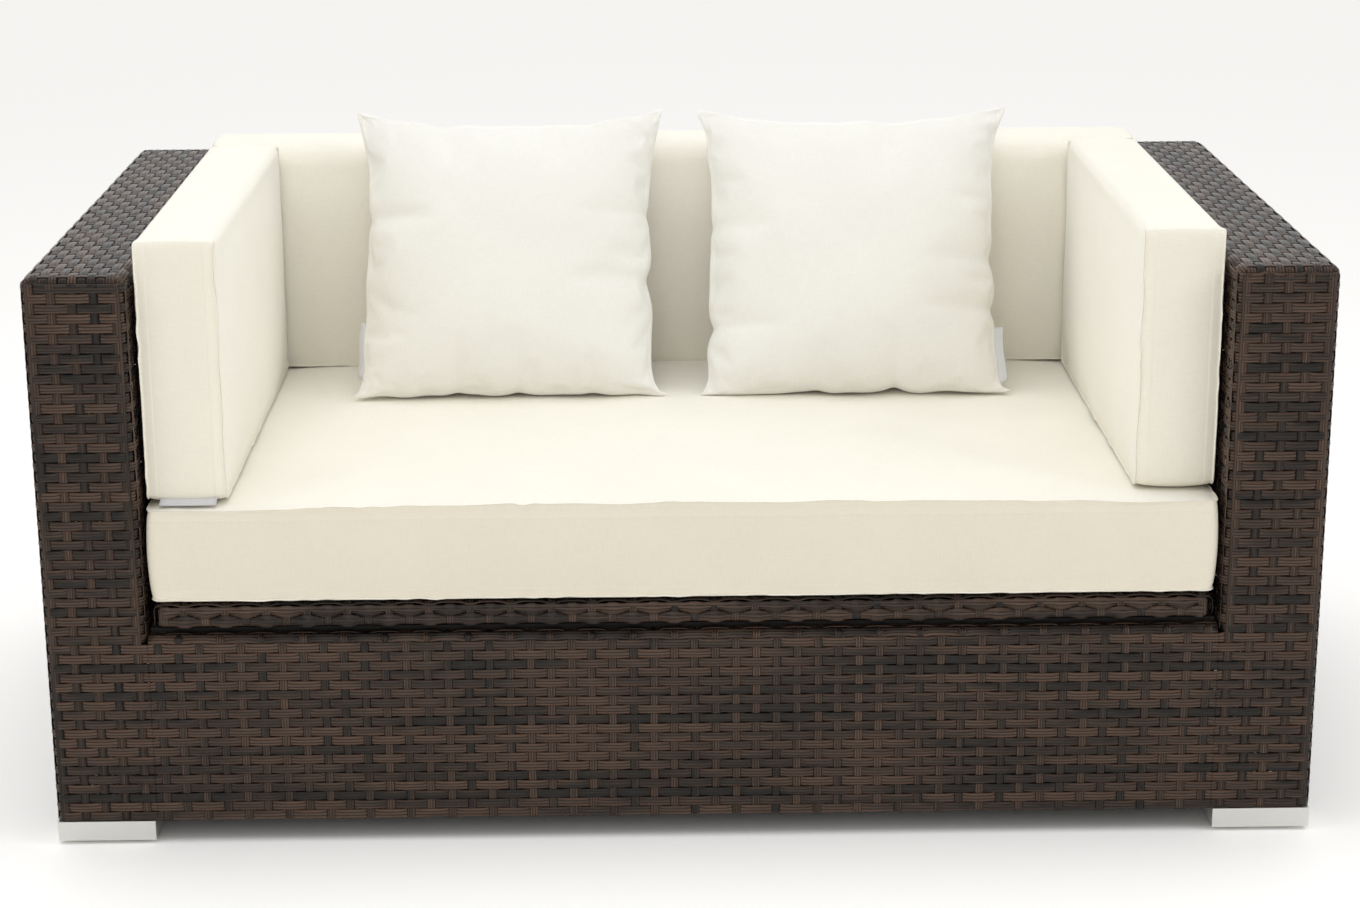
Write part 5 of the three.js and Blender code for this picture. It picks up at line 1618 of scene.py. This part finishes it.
class SOFA_OT_pillows(bpy.types.Operator):
    """Fill the two scatter pillows and lean them on the back cushion"""
    bl_idname = "sofa.pillows"
    bl_label = "Scatter pillows"

    def execute(self, context):
        for (word, _), seed in zip(SIDES, PILLOW_SEEDS):
            pillow(word, seed)
        return {"FINISHED"}


class SOFA_OT_tags(bpy.types.Operator):
    """Sew the three plain tags into the seams of the pillows and the left side cushion"""
    bl_idname = "sofa.tags"
    bl_label = "Tags"

    def execute(self, context):
        for word, side, low, out in PILLOW_TAGS:
            cover = bpy.data.objects[word + "_pillow_cover"]
            line = seam_line(cover, side, low, low + TAG_LENGTH)
            tag(word + "_pillow_tag", line, out, word + "_pillow")
        low, high = corners("left_side_cushion")
        aside, ahead, above = SIDE_TAG_SPOT
        along = np.linspace(-0.5, 0.5, TAG_STEPS + 1) * TAG_LENGTH
        line = np.column_stack([
            (low[0] + high[0]) / 2 + aside + along, np.full(len(along), low[1] + ahead),
            np.full(len(along), low[2] + above)])
        tag("left_side_cushion_tag", line, SIDE_TAG_OUT, "left_side_cushion")
        return {"FINISHED"}


class SOFA_OT_finishes(bpy.types.Operator):
    """Give the frames, tray, hinges, stays, bolts, feet and pads their finishes"""
    bl_idname = "sofa.finishes"
    bl_label = "Rigid finishes"

    def execute(self, context):
        for name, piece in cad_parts.items():
            kind = slot_of(name)
            if kind is None:
                continue
            for entry in piece.material_slots:
                entry.link = "OBJECT"
                entry.material = rigid_material(kind)
        return {"FINISHED"}


def slot_of(name):
    """The finish that a rigid frame node has, or None for the weave and the cloth."""
    return next((kind for word, kind in FINISH_WORDS if word in name), None)


class SOFA_OT_stage(bpy.types.Operator):
    """Lay the pale floor, light it softly and set the camera"""
    bl_idname = "sofa.stage"
    bl_label = "Stage"

    def execute(self, context):
        settings = context.scene.sofa_stage
        for other in context.selected_objects:
            other.select_set(False)
        bpy.ops.mesh.primitive_plane_add(size=FLOOR_SIZE)
        floor = context.active_object
        floor.name = "floor"
        floor.data.materials.append(floor_material(settings.floor))
        world = bpy.data.worlds.new("Soft Room")
        context.scene.world = world
        world.use_nodes = True
        light_room(world.node_tree, settings.room)
        context.scene.view_settings.view_transform = "Standard"
        hang_lights(context, settings.key)
        add_camera(context)
        return {"FINISHED"}


def floor_material(tint):
    """A pale floor: faint clouds, a little deeper far behind, and a glow round the sofa, left out
    under it as a painted shadow.
    """
    made, tree, surface = new_material("Pale Floor")
    place = node(tree, "ShaderNodeTexCoord").outputs["Object"]
    scale, detail, clouds = FLOOR_CLOUDS
    cloudy = noise(tree, place, scale, detail)
    far = ranged(tree, node(tree, "ShaderNodeSeparateXYZ", {
        "Vector": place}).outputs["Y"], *FLOOR_FADE)
    worn = maths(tree, "ADD", maths(tree, "MULTIPLY", cloudy, clouds), far, clamp=True)
    fill(tree, surface.inputs["Base Color"], mixed(
        tree, worn, (*tint, 1.0), (*(part * FLOOR_DEEP for part in tint), 1.0)))
    for label, value in FLOOR_SURFACE.items():
        surface.inputs[label].default_value = value
    # Painted shadow: no glow inside the sofa's own plan
    under = node(tree, "ShaderNodeVectorMath", {
        0: node(tree, "ShaderNodeVectorMath", {0: place}, operation="ABSOLUTE").outputs[0],
        1: FLOOR_SHADE}, operation="SUBTRACT").outputs[0]
    under = node(tree, "ShaderNodeSeparateXYZ", {"Vector": under}).outputs
    beside = maths(tree, "MAXIMUM", under["X"], under["Y"])
    fill(tree, surface.inputs["Emission Strength"],
         ranged(tree, beside, 0.0, GLOW_EDGE, 0.0, FLOOR_GLOW))
    return made


def light_room(tree, strength):
    """Soft light from all round: strongest overhead and behind, weak from in front."""
    ahead = node(tree, "ShaderNodeSeparateXYZ", {
        "Vector": node(tree, "ShaderNodeTexCoord").outputs["Generated"]}).outputs
    level = ROOM_ALL
    for axis, part in (("Y", ROOM_BEHIND), ("Z", ROOM_ABOVE)):
        facing = maths(tree, "MAXIMUM", ahead[axis], 0.0)
        level = maths(tree, "ADD", level, maths(tree, "MULTIPLY", facing, part))
    back = tree.nodes["Background"]
    back.inputs["Color"].default_value = WHITE
    fill(tree, back.inputs["Strength"], maths(tree, "MULTIPLY", level, strength))


def hang_lights(context, key):
    """The large soft lights, each aimed at the sofa."""
    for name, spot, target, size, power, tint in LIGHTS:
        bpy.ops.object.light_add(type="AREA", location=spot)
        light = context.active_object
        light.name = name
        light.data.shape = "DISK"
        light.data.size = size
        light.data.energy = key * power
        light.data.color = tint
        aim = Vector(target) - Vector(spot)
        light.rotation_euler = aim.to_track_quat("-Z", "Y").to_euler()


def add_camera(context):
    """The camera at the place and angle that the picture was taken from."""
    data = bpy.data.cameras.new("camera")
    data.lens, data.sensor_width = CAMERA_LENS, SENSOR_WIDTH
    data.clip_end = CLIP_END
    camera = bpy.data.objects.new("camera", data)
    context.scene.collection.objects.link(camera)
    ahead = Vector((math.sin(CAMERA_YAW) * math.cos(CAMERA_PITCH),
                    math.cos(CAMERA_YAW) * math.cos(CAMERA_PITCH), -math.sin(CAMERA_PITCH)))
    right = Vector((math.cos(CAMERA_YAW), -math.sin(CAMERA_YAW), 0))
    up = right.cross(ahead)
    cos, sin = math.cos(CAMERA_ROLL), math.sin(CAMERA_ROLL)
    axes = (right * cos + up * sin, up * cos - right * sin, -ahead)
    camera.matrix_world = Matrix.Translation(CAMERA_SPOT) @ Matrix(axes).transposed().to_4x4()
    context.scene.camera = camera


class SOFA_PT_panel(bpy.types.Panel):
    """The sofa's settings and the buttons that make its pieces"""
    bl_idname = "SOFA_PT_panel"
    bl_label = "Woven Garden Sofa"
    bl_space_type = "VIEW_3D"
    bl_region_type = "UI"
    bl_category = "Sofa"

    def draw(self, context):
        for holder, operators in PANEL_ROWS:
            box = self.layout.box()
            settings = getattr(context.scene, holder)
            for name in settings.bl_rna.properties.keys():
                if name not in ("rna_type", "name"):
                    box.prop(settings, name)
            for operator in operators:
                box.operator(operator)


PANEL_ROWS = (
    ("sofa_weave", ("sofa.rows", "sofa.arm_posts", "sofa.back_posts", "sofa.panel_posts",
                    "sofa.lid_weave")),
    ("sofa_cushions", ("sofa.seat_cushion", "sofa.back_cushion", "sofa.side_cushions",
                       "sofa.pillows", "sofa.tags")),
    ("sofa_finish", ("sofa.finishes",)),
    ("sofa_stage", ("sofa.stage",)),
)
SETTINGS = (
    ("sofa_weave", SofaWeaveSettings), ("sofa_cushions", SofaCushionSettings),
    ("sofa_finish", SofaFinishSettings), ("sofa_stage", SofaStageSettings))
CLASSES = (
    *(kind for _, kind in SETTINGS), SOFA_OT_rows, SOFA_OT_arm_posts, SOFA_OT_back_posts,
    SOFA_OT_panel_posts, SOFA_OT_lid_weave, SOFA_OT_seat_cushion, SOFA_OT_back_cushion,
    SOFA_OT_side_cushions, SOFA_OT_pillows, SOFA_OT_tags, SOFA_OT_finishes, SOFA_OT_stage,
    SOFA_PT_panel)


def register():
    for kind in CLASSES:
        bpy.utils.register_class(kind)
    for holder, kind in SETTINGS:
        setattr(bpy.types.Scene, holder, bpy.props.PointerProperty(type=kind))


def unregister():
    for holder, _ in reversed(SETTINGS):
        delattr(bpy.types.Scene, holder)
    for kind in reversed(CLASSES):
        bpy.utils.unregister_class(kind)


def main():
    """Makes the whole sofa."""
    register()
    for _, operators in PANEL_ROWS:
        for operator in operators:
            group, name = operator.split(".")
            getattr(getattr(bpy.ops, group), name)()


if __name__ == "__main__":
    main()
